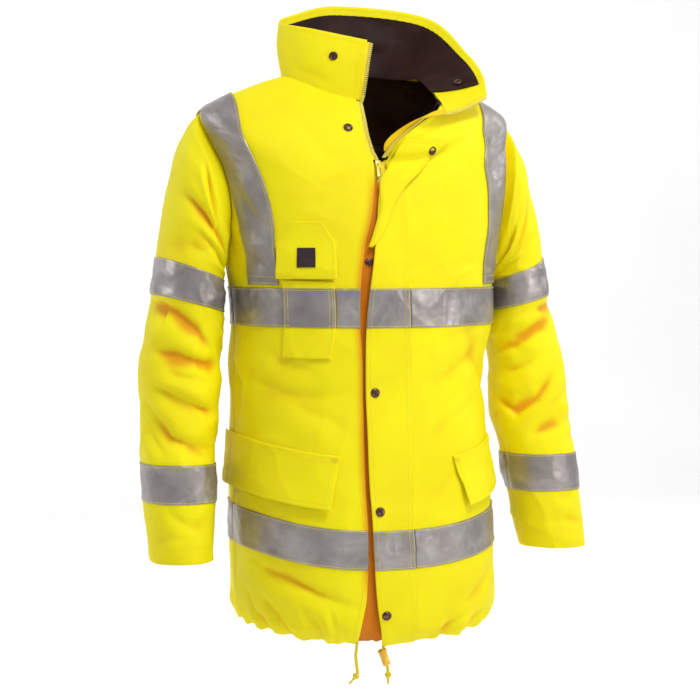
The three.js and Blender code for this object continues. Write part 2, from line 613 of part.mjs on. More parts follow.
// Reflective tape on the panels, cut at the seams that it crosses.
const POCKET_ANGLES = [-24.2, -48.2];
const tapeRowsAt = ([top, low]) => TRUNK_LEVELS.filter((s) => s >= top && s <= low);
function tapeOnFront(side, tape, from, to, columns) {
  return tapeRowsAt(tape).map((s) => span(from(s), to(s), columns).map((t) => trunk(s, side * t)));
}
for (const [name, tape] of [["chest", CHEST_TAPE], ["hem", HEM_TAPE]]) {
  const rightEdge = (s) => -angleAt(s, RIGHT_EDGE(s) - 0.5);
  const flapEdge = (s) => angleAt(s, FLAP_SEAM(-ring(s).zFront) + 1.2);
  const side = () => 90 - 2 * HALF_SEAM_DEGREES;
  const lift = { lift: LIFT };
  if (name === "chest") {
    const [inner, outer] = POCKET_ANGLES.map((t) => -t);
    const innerRows = tapeOnFront(-1, tape, rightEdge, () => inner - 0.3, 4);
    const outerRows = tapeOnFront(-1, tape, () => outer + 0.3, side, 6);
    piece("tape_chest_right_inner", wall(innerRows, TAPE, lift), SILVER);
    piece("tape_chest_right_outer", wall(outerRows, TAPE, lift), SILVER);
  } else {
    piece("tape_hem_right", wall(tapeOnFront(-1, tape, rightEdge, side, FRONT_COLUMNS), TAPE, lift), SILVER);
  }
  piece(`tape_${name}_left`, wall(tapeOnFront(1, tape, flapEdge, side, FRONT_COLUMNS - 1), TAPE, lift), SILVER);
  piece(`tape_${name}_back`, wall(backPanel(tapeRowsAt(tape)), TAPE, lift), SILVER);
}

// Shoulder tapes: each panel's length from the chest tape up to the shoulder seam, between two edge
// lines given as (s, angle).
const SHOULDER_TAPES = {
  front_right: {
    inner: [
      [351, 50.3], [311, 49.8], [272, 49.5], [232, 49.4], [192, 50.5],
      [160, 52], [137, 54], [112, 60], [90, 73], [76, 88.5],
    ],
    outer: [
      [351, 70], [311, 69.4], [272, 70.5], [232, 73], [196, 74.6],
      [165, 78.2], [145, 82], [131, 85.5], [124, 87.5], [119, 88.5],
    ],
  },
  front_left: {
    inner: [
      [351, 49.6], [311, 48.6], [272, 47.2], [232, 45.6], [192, 44.4],
      [160, 43.8], [137, 45], [112, 50], [90, 65], [76, 88.5],
    ],
    outer: [
      [351, 69.5], [311, 68.6], [272, 67.6], [232, 67], [196, 67],
      [165, 68.5], [145, 72], [131, 78], [124, 84], [119, 88.5],
    ],
  },
  back: {
    inner: [
      [351, 130], [311, 132], [272, 134], [232, 136], [192, 135],
      [160, 130], [137, 122], [112, 110], [90, 99], [76, 91.5],
    ],
    outer: [
      [351, 111], [311, 114], [272, 117], [232, 119], [196, 118],
      [165, 112], [145, 104], [131, 97], [124, 93], [119, 91.5],
    ],
  },
};
function tapeBetween(side, { inner, outer }) {
  const line = (list) => {
    const at = through(list.map(([s, t], i) => [i, s, t]));
    return (v) => [at(v * (list.length - 1), 1), at(v * (list.length - 1), 2)];
  };
  const [a, b] = [line(inner), line(outer)];
  return span(0.005, 1, 14).map((v) => {
    const [p, q] = [a(v), b(v)];
    return span(0, 1, 3).map((u) => trunk(mix(p[0], q[0], u), side * mix(p[1], q[1], u)));
  });
}
for (const [name, side, edges] of [
  ["front_right", -1, SHOULDER_TAPES.front_right],
  ["front_left", 1, SHOULDER_TAPES.front_left],
  ["back_right", -1, SHOULDER_TAPES.back],
  ["back_left", 1, SHOULDER_TAPES.back],
])
  piece(`tape_shoulder_${name}`, wall(tapeBetween(side, edges), TAPE, { lift: LIFT + 0.8 }), SILVER);

// Lower pocket flaps, sewn at the top and standing off a little at the foot.
const POCKET_FLAPS = {
  right: { side: -1, top: [551, 542], low: [616, 612], inner: [18.8, 24], outer: 100 },
  left: { side: 1, top: [557, 548], low: [620, 616], inner: [27.2, 33.5], outer: 88.5 },
};
for (const [name, { side, top, low, inner, outer }] of Object.entries(POCKET_FLAPS)) {
  const rows = span(0, 1, 4).map((down) =>
    span(0, 1, 10).map((u) => {
      const s = mix(mix(top[0], top[1], u), mix(low[0], low[1], u), down);
      const place = trunk(s, side * mix(mix(inner[0], inner[1], down), outer, u));
      return { p: place.p.addScaledVector(place.n, 6 * down ** 1.3 + 2 * smooth(0.7, 1, u)), n: place.n };
    }),
  );
  piece(`pocket_flap_${name}`, wall(rows, DOUBLE, { lift: LIFT }), YELLOW);
}

// Chest pocket on the wearer's right, its flap with two cut corners, and the plain badge on it.
const POCKET_LIFT = LIFT + 0.4;
const CHEST_POCKET = { top: 341, low: 441 };
const pocketRows = (list, lift) =>
  list.map((s) => span(POCKET_ANGLES[0], POCKET_ANGLES[1], 5).map((t) => {
    const place = trunk(s, t);
    return { p: place.p.addScaledVector(place.n, lift), n: place.n };
  }));
const pocketLevels = [CHEST_POCKET.top, ...tapeRowsAt(CHEST_TAPE), 422, CHEST_POCKET.low];
piece("chest_pocket", wall(pocketRows(pocketLevels, POCKET_LIFT), DOUBLE), YELLOW);
const overPocket = pocketRows(tapeRowsAt(CHEST_TAPE), POCKET_LIFT + DOUBLE + SEAM);
piece("tape_chest_pocket", wall(overPocket, TAPE), SILVER);
const POCKET_LID = { xMid: -106, half: 33.5, halfTop: 17, zTop: -195.5, zCorner: -224, zLow: -269 };
function lidPlace(z, u) {
  const { xMid, half, halfTop, zTop, zCorner } = POCKET_LID;
  const wide = z > zCorner ? mix(half, halfTop, (z - zCorner) / (zTop - zCorner)) : half;
  return frontAt(xMid + wide * (2 * u - 1), z);
}
const lidRows = levels([[POCKET_LID.zTop, 0], [POCKET_LID.zCorner, 2], [POCKET_LID.zLow, 3]]).map((z) =>
  span(0, 1, 5).map((u) => {
    const place = lidPlace(z, u);
    return { p: place.p.addScaledVector(place.n, LIFT + 4.5 * smooth(-215, -262, z)), n: place.n };
  }),
);
piece("chest_pocket_flap", wall(lidRows, DOUBLE), YELLOW);
const BADGE_SIZE = { xMid: -107, zMid: -242, half: 10.2, tall: 12.4 };
const badgeRows = span(1, -1, 2).map((v) =>
  span(-1, 1, 2).map((u) => {
    const z = BADGE_SIZE.zMid + v * BADGE_SIZE.tall;
    const place = frontAt(BADGE_SIZE.xMid + u * BADGE_SIZE.half, z);
    const standsOff = LIFT + DOUBLE + 0.5 + 4.5 * smooth(-215, -262, z);
    return { p: place.p.addScaledVector(place.n, standsOff), n: place.n };
  }),
);
piece("badge", wall(badgeRows, 0.8), BADGE);

// Press studs: a cap or an open ring, turned about the cloth's outward direction.
const CAP = [[0, 0], [6.2, 0], [6.2, 0.8], [5.4, 1.9], [3.4, 2.7], [0, 3]];
const FLAT_CAP = CAP.map(([r, h]) => [r * 0.85, h * 0.6]);
const SOCKET = [[0, 0], [6, 0], [6, 1.2], [5, 2.2], [3.6, 1.9], [3.1, 0.9], [0, 0.9]];
function stud(name, profile, place, lift) {
  const points = profile.map(([r, h]) => new THREE.Vector2(r, h));
  const mesh = piece(name, new THREE.LatheGeometry(points, 14), BRASS);
  mesh.quaternion.setFromUnitVectors(v3(0, 1, 0), place.n);
  mesh.position.copy(place.p).addScaledVector(place.n, lift);
}
const ON_FLAP = DOUBLE + 0.4;
const CAP_U = 0.19;
for (const [name, z] of [["upper", -414], ["middle", -565], ["lower", -698]])
  stud(`press_stud_flap_${name}`, CAP, onFlap(z, CAP_U), ON_FLAP);
stud("press_stud_right_top", CAP, trunk(58.6, -15.3), 0.4);
const onGuard = trunk(298, -9.5);
stud("press_stud_guard", FLAT_CAP, onGuard, GUARD_DEEP + 0.4);
stud("press_stud_collar", SOCKET, collar(29.5, 0.6), 0.4);
const onTurned = (() => {
  const across = turnedRows[6][4].p.clone().sub(turnedRows[6][2].p);
  const down = turnedRows[5][3].p.clone().sub(turnedRows[7][3].p);
  return { p: turnedRows[6][3].p, n: down.cross(across).normalize() };
})();
stud("press_stud_turned_back", SOCKET, onTurned, DOUBLE + 0.5);
const inside = collar(309, 0.5);
stud("press_stud_lining", SOCKET, { p: inside.p, n: inside.n.clone().negate() }, DOUBLE + LINING + 1.9);

// Zip slider on the teeth at the foot of the opening, and its pull, hinged on the slider's bridge and
// lying on the cloth below.
const box = (w, d, h, x = 0, y = 0, z = 0) => new THREE.BoxGeometry(w, d, h).translate(x, y, z);
const slider = trunk(SLIDER + 8, angleAt(SLIDER + 8, ZIP_X));
const SLIDER_SIZE = { wide: 8, deep: 3.4, tall: 11 };
const sliderBox = new RoundedBoxGeometry(SLIDER_SIZE.wide, SLIDER_SIZE.deep, SLIDER_SIZE.tall, 1, 0.8);
const sliderMesh = piece("zip_slider", sliderBox, BRASS);
const lean = Math.atan2(-slider.n.z, -slider.n.y);
sliderMesh.rotation.x = lean;
sliderMesh.position.copy(slider.p).addScaledVector(slider.n, -1.9);
const PULL = { wide: 5, thick: 1.2, long: 19 };
const pullBox = new RoundedBoxGeometry(PULL.wide, PULL.thick, PULL.long, 1, 0.4);
const pullMesh = piece("zip_pull", pullBox.translate(0, 0, -PULL.long / 2), BRASS);
pullMesh.rotation.x = lean;
pullMesh.position.copy(slider.p).addScaledVector(slider.n, 1.4);
pullMesh.position.x -= 2;

// The drawcord's two free ends below the hem: on the wearer's right a knot and a tail, on the left a
// cord lock and then a knot and a tail.
const CORD = 4;
function tube(name, points) {
  const section = new THREE.Shape().absarc(0, 0, CORD / 2, 0, 2 * Math.PI);
  const path = new THREE.CatmullRomCurve3(points);
  const steps = Math.max(2, Math.round(path.getLength() / (2 * CORD)));
  piece(name, new THREE.ExtrudeGeometry(section, { steps, curveSegments: 8, extrudePath: path }), CORD_CLOTH);
}
const KNOT = [[0, 0], [2, 0], [3.6, 1.2], [4.7, 3.6], [4.5, 6], [3, 8.4], [2, 9.4], [2, 17], [0, 17]];
function knot(name, from, lean) {
  const points = KNOT.map(([r, h]) => new THREE.Vector2(r, -h)).reverse();
  const mesh = piece(name, new THREE.LatheGeometry(points, 12).rotateX(Math.PI / 2), CORD_CLOTH);
  mesh.position.copy(from);
  mesh.rotation.y = lean;
}
const hemRight = trunk(HEM, angleAt(HEM, -47)).p;
const flapFoot = onFlap(FLAP_FOOT[0], 0.08);
const hemLeft = flapFoot.p.clone().addScaledVector(flapFoot.n, DOUBLE / 2);
const CORD_Y = -134;
tube("cord_right", [
  v3(hemRight.x, CORD_Y, hemRight.z - 0.6),
  v3(hemRight.x - 1.5, CORD_Y - 1, hemRight.z - 18),
  v3(hemRight.x + 0.5, CORD_Y - 2, -775),
]);
knot("cord_knot_right", v3(hemRight.x + 0.4, CORD_Y - 2.2, -777), 0.75);
const leftY = hemLeft.y;
tube("cord_left_upper", [
  v3(hemLeft.x - 0.5, leftY, hemLeft.z - 1.5),
  v3(hemLeft.x - 1.2, leftY, hemLeft.z - 4.5),
  v3(hemLeft.x - 3, leftY, hemLeft.z - 7.5),
]);
const LOCK = { radius: 6, long: 17, lean: 0.5 };
const lockTop = v3(hemLeft.x - 5, leftY, hemLeft.z - 10.8);
const barrel = new THREE.CylinderGeometry(LOCK.radius, LOCK.radius, LOCK.long, 16);
const lock = piece("cord_lock", barrel.rotateX(Math.PI / 2).translate(0, 0, -LOCK.long / 2), CORD_CLOTH);
lock.rotation.y = -LOCK.lean;
lock.position.copy(lockTop);
const lockAxis = v3(Math.sin(LOCK.lean), 0, -Math.cos(LOCK.lean));
const lockLow = lockTop.clone().addScaledVector(lockAxis, LOCK.long + 1.5);
tube("cord_left_lower", [
  lockLow,
  v3(lockLow.x + 1.2, leftY - 0.2, lockLow.z - 5),
  v3(lockLow.x + 1.2, leftY - 0.3, -775),
]);
knot("cord_knot_left", v3(lockLow.x + 1.2, leftY - 0.3, -775.6), 0);

export default jacket;
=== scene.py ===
import bpy
import math
import numpy as np
from mathutils import Matrix, Vector


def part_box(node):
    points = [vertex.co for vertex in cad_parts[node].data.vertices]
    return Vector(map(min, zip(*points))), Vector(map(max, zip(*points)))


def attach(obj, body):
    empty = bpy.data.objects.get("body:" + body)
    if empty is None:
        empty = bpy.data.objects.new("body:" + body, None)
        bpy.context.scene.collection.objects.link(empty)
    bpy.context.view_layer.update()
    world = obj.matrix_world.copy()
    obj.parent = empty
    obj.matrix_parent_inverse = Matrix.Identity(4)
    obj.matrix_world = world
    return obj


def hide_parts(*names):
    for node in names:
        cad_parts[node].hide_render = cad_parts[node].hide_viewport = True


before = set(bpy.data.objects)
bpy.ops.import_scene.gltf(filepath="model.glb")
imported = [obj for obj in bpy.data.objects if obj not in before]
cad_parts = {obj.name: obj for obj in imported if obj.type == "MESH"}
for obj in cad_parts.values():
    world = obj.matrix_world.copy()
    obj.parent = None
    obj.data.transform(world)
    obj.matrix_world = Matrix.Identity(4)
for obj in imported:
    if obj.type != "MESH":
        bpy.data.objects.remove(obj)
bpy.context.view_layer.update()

MM = 0.001
RAD = math.pi / 180


# Camera. It stands low, a little to the jacket's right of centre, as for the photograph.

def place_camera():
    azimuth, pitch, distance = -17 * RAD, 2.93 * RAD, 2.8
    ahead = Vector((-math.sin(azimuth), math.cos(azimuth), 0))
    across = Vector((math.cos(azimuth), math.sin(azimuth), 0))
    data = bpy.data.cameras.new("camera")
    data.lens = 107.46
    data.sensor_width = 36
    data.clip_end = 60
    cam = bpy.data.objects.new("camera", data)
    bpy.context.collection.objects.link(cam)
    cam.location = across * -0.0147 - ahead * distance + Vector((0, 0, -0.223))
    look = ahead * math.cos(pitch) + Vector((0, 0, -math.sin(pitch)))
    cam.rotation_euler = look.to_track_quat("-Z", "Y").to_euler()
    bpy.context.scene.camera = cam


place_camera()


# Sizes of the cut, in millimetres, the same as the solids'.

SHELL = 1.5
DOUBLE = 2.2
LINING = 1.0
TAPE = 1.0
SLIDER = 103
SHOULDER = 127
UNDERARM = 325
CHEST_TAPE = (353, 403)
HEM_TAPE = (638, 688)
HEM = 800
GATHER_START = 735
ZIP_X = -8.5
ZIP_END = 780


def through(rows):
    """A smooth curve through a table's rows: the first column is the place, the others are sizes."""
    rows = np.array(rows, float)
    xs = rows[:, 0]
    slopes = np.empty_like(rows)
    for i in range(len(rows)):
        a, b = rows[max(0, i - 1)], rows[min(len(rows) - 1, i + 1)]
        slopes[i] = (b - a) / (b[0] - a[0])

    def at(x, column=1):
        x = np.asarray(x, float)
        i = np.clip(np.searchsorted(xs, x, side="left") - 1, 0, len(xs) - 2)
        span = xs[i + 1] - xs[i]
        u = np.clip((x - xs[i]) / span, 0, 1)
        p, q = rows[i, column], rows[i + 1, column]
        m, n = slopes[i, column] * span, slopes[i + 1, column] * span
        return p + u * (m + u * (3 * (q - p) - 2 * m - n + u * (2 * (p - q) + m + n)))

    return at


def smooth(a, b, x):
    u = np.clip((np.asarray(x, float) - a) / (b - a), 0, 1)
    return u * u * (3 - 2 * u)


def mix(a, b, u):
    return a + (b - a) * u


def wrap(t):
    return (np.asarray(t, float) + 180) % 360 - 180


# The trunk's rings: distance down the cloth, height at side, front and back, half width, depth at
# front, side and back, and how square the ring is.

RINGS = [
    (0, 0, -35, 14, 97, -38, 42, 112, 2.0),
    (45, -14, -68, -20, 139, -68, 40, 134, 2.0),
    (88, -30, -103, -58, 177, -93, 40, 149, 2.0),
    (127, -52, -134, -98, 211, -108, 40, 157, 2.0),
    (165, -90, -160, -135, 207, -120, 34, 160, 2.05),
    (225, -150, -200, -185, 197, -132, 24, 158, 2.1),
    (285, -210, -240, -228, 187, -139, 14, 152, 2.1),
    (325, -250, -264, -258, 181, -142, 7, 146, 2.1),
    (353, -280, -281, -280, 178, -143, 0, 142, 2.1),
    (403, -330, -331, -330, 175, -144, -2, 136, 2.1),
    (478, -405, -411, -403, 169, -143, -6, 124, 2.2),
    (553, -480, -497, -476, 170, -150, -8, 130, 2.35),
    (638, -565, -589, -557, 173.5, -156, -8, 138, 2.4),
    (688, -615, -639, -607, 175, -157, -8, 139, 2.4),
    (745, -672, -694, -664, 176, -154, -8, 137, 2.4),
    (775, -702, -721, -694, 173, -147, -8, 132, 2.35),
    (800, -722, -738, -716, 162, -135, -8, 121, 2.3),
]
ring = through(RINGS)
lean = through([(0, 0), (140, 0), (195, 5), (255, 5), (300, 1), (330, 0), (403, 0), (455, -8), (540, -8),
                (600, -5), (680, -4), (HEM, 1)])
open_edge = through([(0, 90, -86, -56), (30, 62, -99, -62), (60, 36, -107, -77), (85, 12, -110, -97),
                     (SLIDER + 12, 2, -104, -121)])


def trunk_form(s, t):
    """The trunk's plain outer form at s mm down the cloth and t degrees round it, in mm."""
    s, t = np.broadcast_arrays(np.asarray(s, float), np.asarray(t, float))
    sc = np.maximum(s, 0)
    z_side, z_front, z_back, half, y_front, y_side, y_back, square = (ring(sc, c) for c in range(1, 9))
    angle = wrap(t)
    sin, cos = np.sin(t * RAD), np.cos(t * RAD)
    power = 2 / square
    front = np.abs(angle) < 90
    y_end, z_end = np.where(front, y_front, y_back), np.where(front, z_front, z_back)
    across = np.abs(cos) ** power
    mid = lean(sc)
    p = np.stack([
        mid + half * np.sign(sin) * np.abs(sin) ** power,
        mix(y_side, y_end, across),
        mix(z_side, z_end, cos * cos),
    ], -1)
    opened = (angle > -1) & (angle < 90) & (s < SLIDER + 12)
    if opened.any():
        side = np.stack([mid + half, y_side, z_side], -1)
        home = np.stack([mid, y_front, z_front], -1) - side
        off = p - side
        along = (off * home).sum(-1) / (home * home).sum(-1)
        bulge = off - home * along[..., None]
        pulled = np.stack([open_edge(s, c) for c in (1, 2, 3)], -1) - side
        back = smooth(SLIDER - 8, SLIDER + 12, s)[..., None]
        pulled = pulled + (home - pulled) * back
        roundness = mix(0.25, 1, smooth(0, SLIDER, s))[..., None]
        p = np.where(opened[..., None], side + pulled * along[..., None] + bulge * roundness, p)
    return p


# Uneven cloth: smooth value noise on a grid of seeded numbers, the same on each run.

def make_noise(seed, size=64):
    table = np.random.default_rng(seed).uniform(-1, 1, (size, size))

    def noise(u, v):
        u, v = np.broadcast_arrays(np.asarray(u, float), np.asarray(v, float))
        i, j = np.floor(u).astype(int), np.floor(v).astype(int)
        fu, fv = u - i, v - j
        fu, fv = fu * fu * (3 - 2 * fu), fv * fv * (3 - 2 * fv)
        a, b = table[i % size, j % size], table[(i + 1) % size, j % size]
        c, d = table[i % size, (j + 1) % size], table[(i + 1) % size, (j + 1) % size]
        return mix(mix(a, b, fu), mix(c, d, fu), fv)

    return noise


NOISE = [make_noise(seed) for seed in range(6)]


def crease_field(table, a, b):
    """Soft troughs and ridges. Each row is a line of places, its width, its depth and how steep its
    one side is. A trough has a low ridge on its gentle side, and a negative depth makes a ridge."""
    total = np.zeros(np.broadcast(a, b).shape)
    for line, width, depth, bias in table:
        best = np.full(total.shape, 1e9)
        signed = np.zeros(total.shape)
        run = np.zeros(total.shape)
        lengths = [math.dist(p, q) for p, q in zip(line, line[1:])]
        whole = sum(lengths)
        gone = 0.0
        last = len(lengths) - 1
        for k, (p, q) in enumerate(zip(line, line[1:])):
            dx, dy = (q[0] - p[0]) / lengths[k], (q[1] - p[1]) / lengths[k]
            along = (a - p[0]) * dx + (b - p[1]) * dy
            low = -1e9 if k == 0 else 0
            high = 1e9 if k == last else lengths[k]
            held = np.clip(along, low, high)
            ex, ey = a - p[0] - held * dx, b - p[1] - held * dy
            away = np.hypot(ex, ey)
            nearer = away < best
            best = np.where(nearer, away, best)
            signed = np.where(nearer, np.sign(ex * dy - ey * dx) * away, signed)
            run = np.where(nearer, gone + held, run)
            gone += lengths[k]
        u = run / whole
        fade = smooth(-0.18, 0.3, u) * (1 - smooth(0.7, 1.18, u))
        wobble = 1 + 0.25 * np.sin(run * 0.09 + width)
        steep, gentle = width * (1 - bias), width * (1 + bias)
        spread = np.where(signed < 0, steep, gentle) * wobble
        trough = np.exp(-np.abs(signed / spread) ** 1.5)
        ridge = np.exp(-(((signed - 2.1 * gentle) / (1.1 * gentle)) ** 2))
        total -= 1.25 * depth * fade * (trough - 0.45 * ridge)
    return total


ROUND = 2.9  # mm of cloth for each degree round the trunk


def places(*pairs):
    return [(s, t * ROUND) for s, t in pairs]


TRUNK_CREASES = [
    (places((705, -66), (712, -45), (724, -28), (737, -15)), 9, 5.0, 0.4),
    (places((744, -62), (765, -53), (799, -47)), 6, 3.0, 0.2),
    (places((746, -38), (770, -30), (800, -30)), 5, 2.6, 0.2),
    (places((746, -24), (777, -22), (800, -25)), 4.5, 2.4, 0.1),
    (places((742, -76), (766, -71), (791, -63)), 6, 3.0, 0.3),
    (places((800, 12), (775, 24), (757, 36)), 6, 2.6, 0.2),
    (places((800, 26), (780, 40), (765, 55)), 6, 2.4, 0.2),
    (places((715, 60), (735, 45), (752, 30)), 9, 3.0, 0.3),
    (places((446, -92), (480, -80), (528, -84)), 9, 3.2, 0.3),
    (places((468, -68), (483, -48), (487, -28), (479, -16)), 11, 2.6, 0.4),
    (places((500, -40), (511, -23), (528, -13)), 9, 1.8, 0.3),
    (places((430, -60), (448, -45), (455, -30)), 9, 1.6, 0.3),
    (places((480, 14), (460, 30), (437, 50)), 11, 2.8, 0.4),
    (places((534, 14), (516, 28), (496, 52)), 11, 2.6, 0.4),
    (places((506, 20), (488, 35), (470, 55)), 9, 2.0, 0.3),
    (places((408, 40), (448, 51), (500, 82)), 12, 3.2, 0.3),
    (places((420, 20), (412, 32), (408, 46)), 7, 1.4, 0.3),
    (places((600, 12), (590, 22), (575, 30)), 9, 1.2, 0.3),
    (places((70, -38), (91, -27), (116, -19)), 10, 1.6, 0.3),
    (places((182, -30), (150, -19), (128, -11)), 11, 1.8, 0.3),
    (places((215, -36), (190, -24), (165, -15)), 11, 1.2, 0.3),
    (places((225, -66), (250, -60), (268, -50)), 10, 1.8, 0.3),
    (places((290, -78), (312, -66), (330, -52)), 11, 3.0, 0.3),
    (places((255, -84), (300, -80), (345, -74)), 8, 2.0, 0.3),
    (places((255, 84), (300, 80), (345, 74)), 8, 2.0, 0.3),
    (places((300, 30), (318, 45), (328, 62)), 10, 1.4, 0.3),
    (places((180, 32), (215, 26), (250, 26)), 12, 1.2, 0.3),
    (places((120, 30), (150, 36), (190, 40)), 12, 1.6, 0.3),
    (places((190, 128), (250, 140), (320, 156)), 14, 4.5, 0.3),
    (places((190, 232), (250, 220), (320, 204)), 14, 4.0, 0.3),
    (places((235, 122), (285, 130), (335, 146)), 10, 2.5, 0.3),
    (places((235, 238), (285, 230), (335, 214)), 10, 2.8, 0.3),
    (places((418, 118), (450, 140), (505, 170)), 13, 4.2, 0.4),
    (places((430, 242), (468, 222), (520, 196)), 13, 4.0, 0.4),
    (places((460, 120), (490, 138), (530, 150)), 10, 2.6, 0.3),
    (places((500, 150), (528, 180), (560, 206)), 12, 2.8, 0.4),
    (places((455, 196), (478, 212), (490, 232)), 10, 2.0, 0.3),
    (places((560, 232), (590, 214), (612, 192)), 12, 2.4, 0.3),
    (places((700, 110), (722, 136), (745, 160)), 10, 4.0, 0.4),
    (places((705, 240), (727, 212), (748, 186)), 10, 4.0, 0.4),
    (places((40, 150), (60, 165), (66, 185)), 12, 2.0, 0.3),
    (places((90, 130), (120, 150), (140, 172)), 14, 2.2, 0.3),
    (places((96, 228), (126, 208), (146, 190)), 14, 2.0, 0.3),
]


def gathers(s, t):
    """The drawcord's gathers at the hem: uneven waves, deepest at the edge, none behind the front flap."""
    grown = smooth(GATHER_START - 6, HEM, s)
    uneven = 9 * np.sin(2 * t * RAD + 0.6) + 5 * np.sin(5 * t * RAD)
    front = np.abs(wrap(t))
    strength = (0.72 + 0.28 * np.sin(3 * t * RAD + 1.1)) * smooth(14, 24, front)
    wave = np.sin(23 * (t + uneven * 0.35) * RAD)
    small = 0.22 * np.sin(61 * (t + 0.3 * uneven) * RAD + 1.7) * smooth(765, HEM, s)
    crisp = np.sign(wave) * np.abs(wave) ** 0.8
    return 5.0 * grown * strength * (crisp + small)


SEAM_PUCKERS = [(354.5, 0.45), (401.5, 0.45), (639.5, 0.5), (686.5, 0.5), (HEM - 24, 0.7)]


def trunk_relief(s, t):
    t0 = wrap(t)
    b = np.where(t0 < -108, t0 + 360, t0)
    d = crease_field(TRUNK_CREASES, s, b * ROUND)
    d = d + gathers(s, t)
    wide = NOISE[0](s / 74 + 3.1, b * ROUND / 58) * 1.3 + NOISE[1](s / 31, b * ROUND / 24 + 9) * 0.4
    # Slack in the cloth shows as long soft folds that lie slantwise and meet in sharp ridges
    for slant, size in ((0.55, 1.7), (-0.5, 1.4)):
        u, v = (s + slant * b * ROUND) / 58, (b * ROUND - slant * s) / 120
        fold = 1 - np.abs(NOISE[3](u + 0.6 * NOISE[4](v * 2, u), v))
        wide = wide + size * (fold ** 3 - 0.35)
    quiet = 0.45 + 0.55 * smooth(150, 420, s)
    d = d + wide * quiet
    for place, size in SEAM_PUCKERS:
        near = np.exp(-(((s - place) / 7) ** 2))
        d = d + size * near * NOISE[2](b * ROUND / 5.5, np.full_like(d, place)) * 0.8
    for side in (90, -90):
        off = (wrap(t - side)) * ROUND
        d = d - 0.9 * np.exp(-((off / 3.2) ** 2)) * smooth(UNDERARM, UNDERARM + 20, s)
        d = d + 0.6 * np.exp(-((off / 9) ** 2)) * NOISE[3](s / 7, off * 0 + side)
    return d * smooth(-2, 12, s)


def trunk(s, t, relief=True):
    """Points on the trunk's outer face and their outward directions."""
    s, t = np.broadcast_arrays(np.asarray(s, float), np.asarray(t, float))
    p = trunk_form(s, t)
    down = trunk_form(s + 1, t) - trunk_form(s - 1, t)
    around = trunk_form(s, t + 0.5) - trunk_form(s, t - 0.5)
    n = np.cross(down, around)
    n /= np.linalg.norm(n, axis=-1, keepdims=True)
    if relief:
        p = p + n * trunk_relief(s, t)[..., None]
    return p, n


def angle_at(s, x):
    """The angle at which a ring reaches x on the front."""
    off = np.asarray(x, float) - lean(s)
    reach = np.minimum(1, (np.abs(off) / ring(s, 4)) ** (ring(s, 8) / 2))
    return np.sign(off) * np.arcsin(reach) / RAD


def place_at(x, z):
    """The (s, t) on the front where the trunk's plain form has this x and z."""
    x, z = np.broadcast_arrays(np.asarray(x, float), np.asarray(z, float))
    s, t = np.maximum(20, -z + 73), x / 170 * 60
    for _ in range(40):
        here = trunk_form(s, t)
        ds, dt = trunk_form(s + 1, t) - here, trunk_form(s, t + 1) - here
        det = ds[..., 0] * dt[..., 2] - dt[..., 0] * ds[..., 2]
        det = np.where(np.abs(det) < 1e-6, 1e-6, det)
        ex, ez = x - here[..., 0], z - here[..., 2]
        s = np.clip(s + np.clip((ex * dt[..., 2] - ez * dt[..., 0]) / det, -25, 25), 1, HEM)
        t = t + np.clip((ds[..., 0] * ez - ds[..., 2] * ex) / det, -12, 12)
    return s, t


# Colours and finishes

def srgb(code):
    """A colour written as six hex digits, as the renderer's linear numbers."""
    parts = [int(code[i:i + 2], 16) / 255 for i in (0, 2, 4)]
    return tuple(c / 12.92 if c <= 0.04045 else ((c + 0.055) / 1.055) ** 2.4 for c in parts) + (1.0,)


def new_finish(name, color, roughness, metallic=0.0, specular=0.5, sheen=0.0):
    """A material whose plain values stand on the shader's own sockets."""
    finish = bpy.data.materials.new(name)
    finish.use_nodes = True
    shader = finish.node_tree.nodes["Principled BSDF"].inputs
    shader["Base Color"].default_value = srgb(color)
    shader["Roughness"].default_value = roughness
    shader["Metallic"].default_value = metallic
    shader["Specular IOR Level"].default_value = specular
    shader["Sheen Weight"].default_value = sheen
    return finish


def add_node(finish, kind, sockets=None, stops=(), out=0, feeds=None, **settings):
    """Adds a node with its settings and links, and returns the named output. A socket's value may be
    another node's output, stops are the places and colours of a ramp, and feeds is a shader socket."""
    tree = finish.node_tree
    node = tree.nodes.new("ShaderNode" + kind)
    for key, value in settings.items():
        setattr(node, key, value)
    for key, value in (sockets or {}).items():
        if isinstance(value, bpy.types.NodeSocket):
            tree.links.new(value, node.inputs[key])
        else:
            node.inputs[key].default_value = value
    if stops:
        marks = node.color_ramp.elements
        while len(marks) < len(stops):
            marks.new(0.5)
        for mark, (place, color) in zip(marks, stops):
            mark.position = place
            mark.color = srgb(color) if isinstance(color, str) else (color, color, color, 1)
    if feeds:
        tree.links.new(node.outputs[out], tree.nodes["Principled BSDF"].inputs[feeds])
    return node.outputs[out]


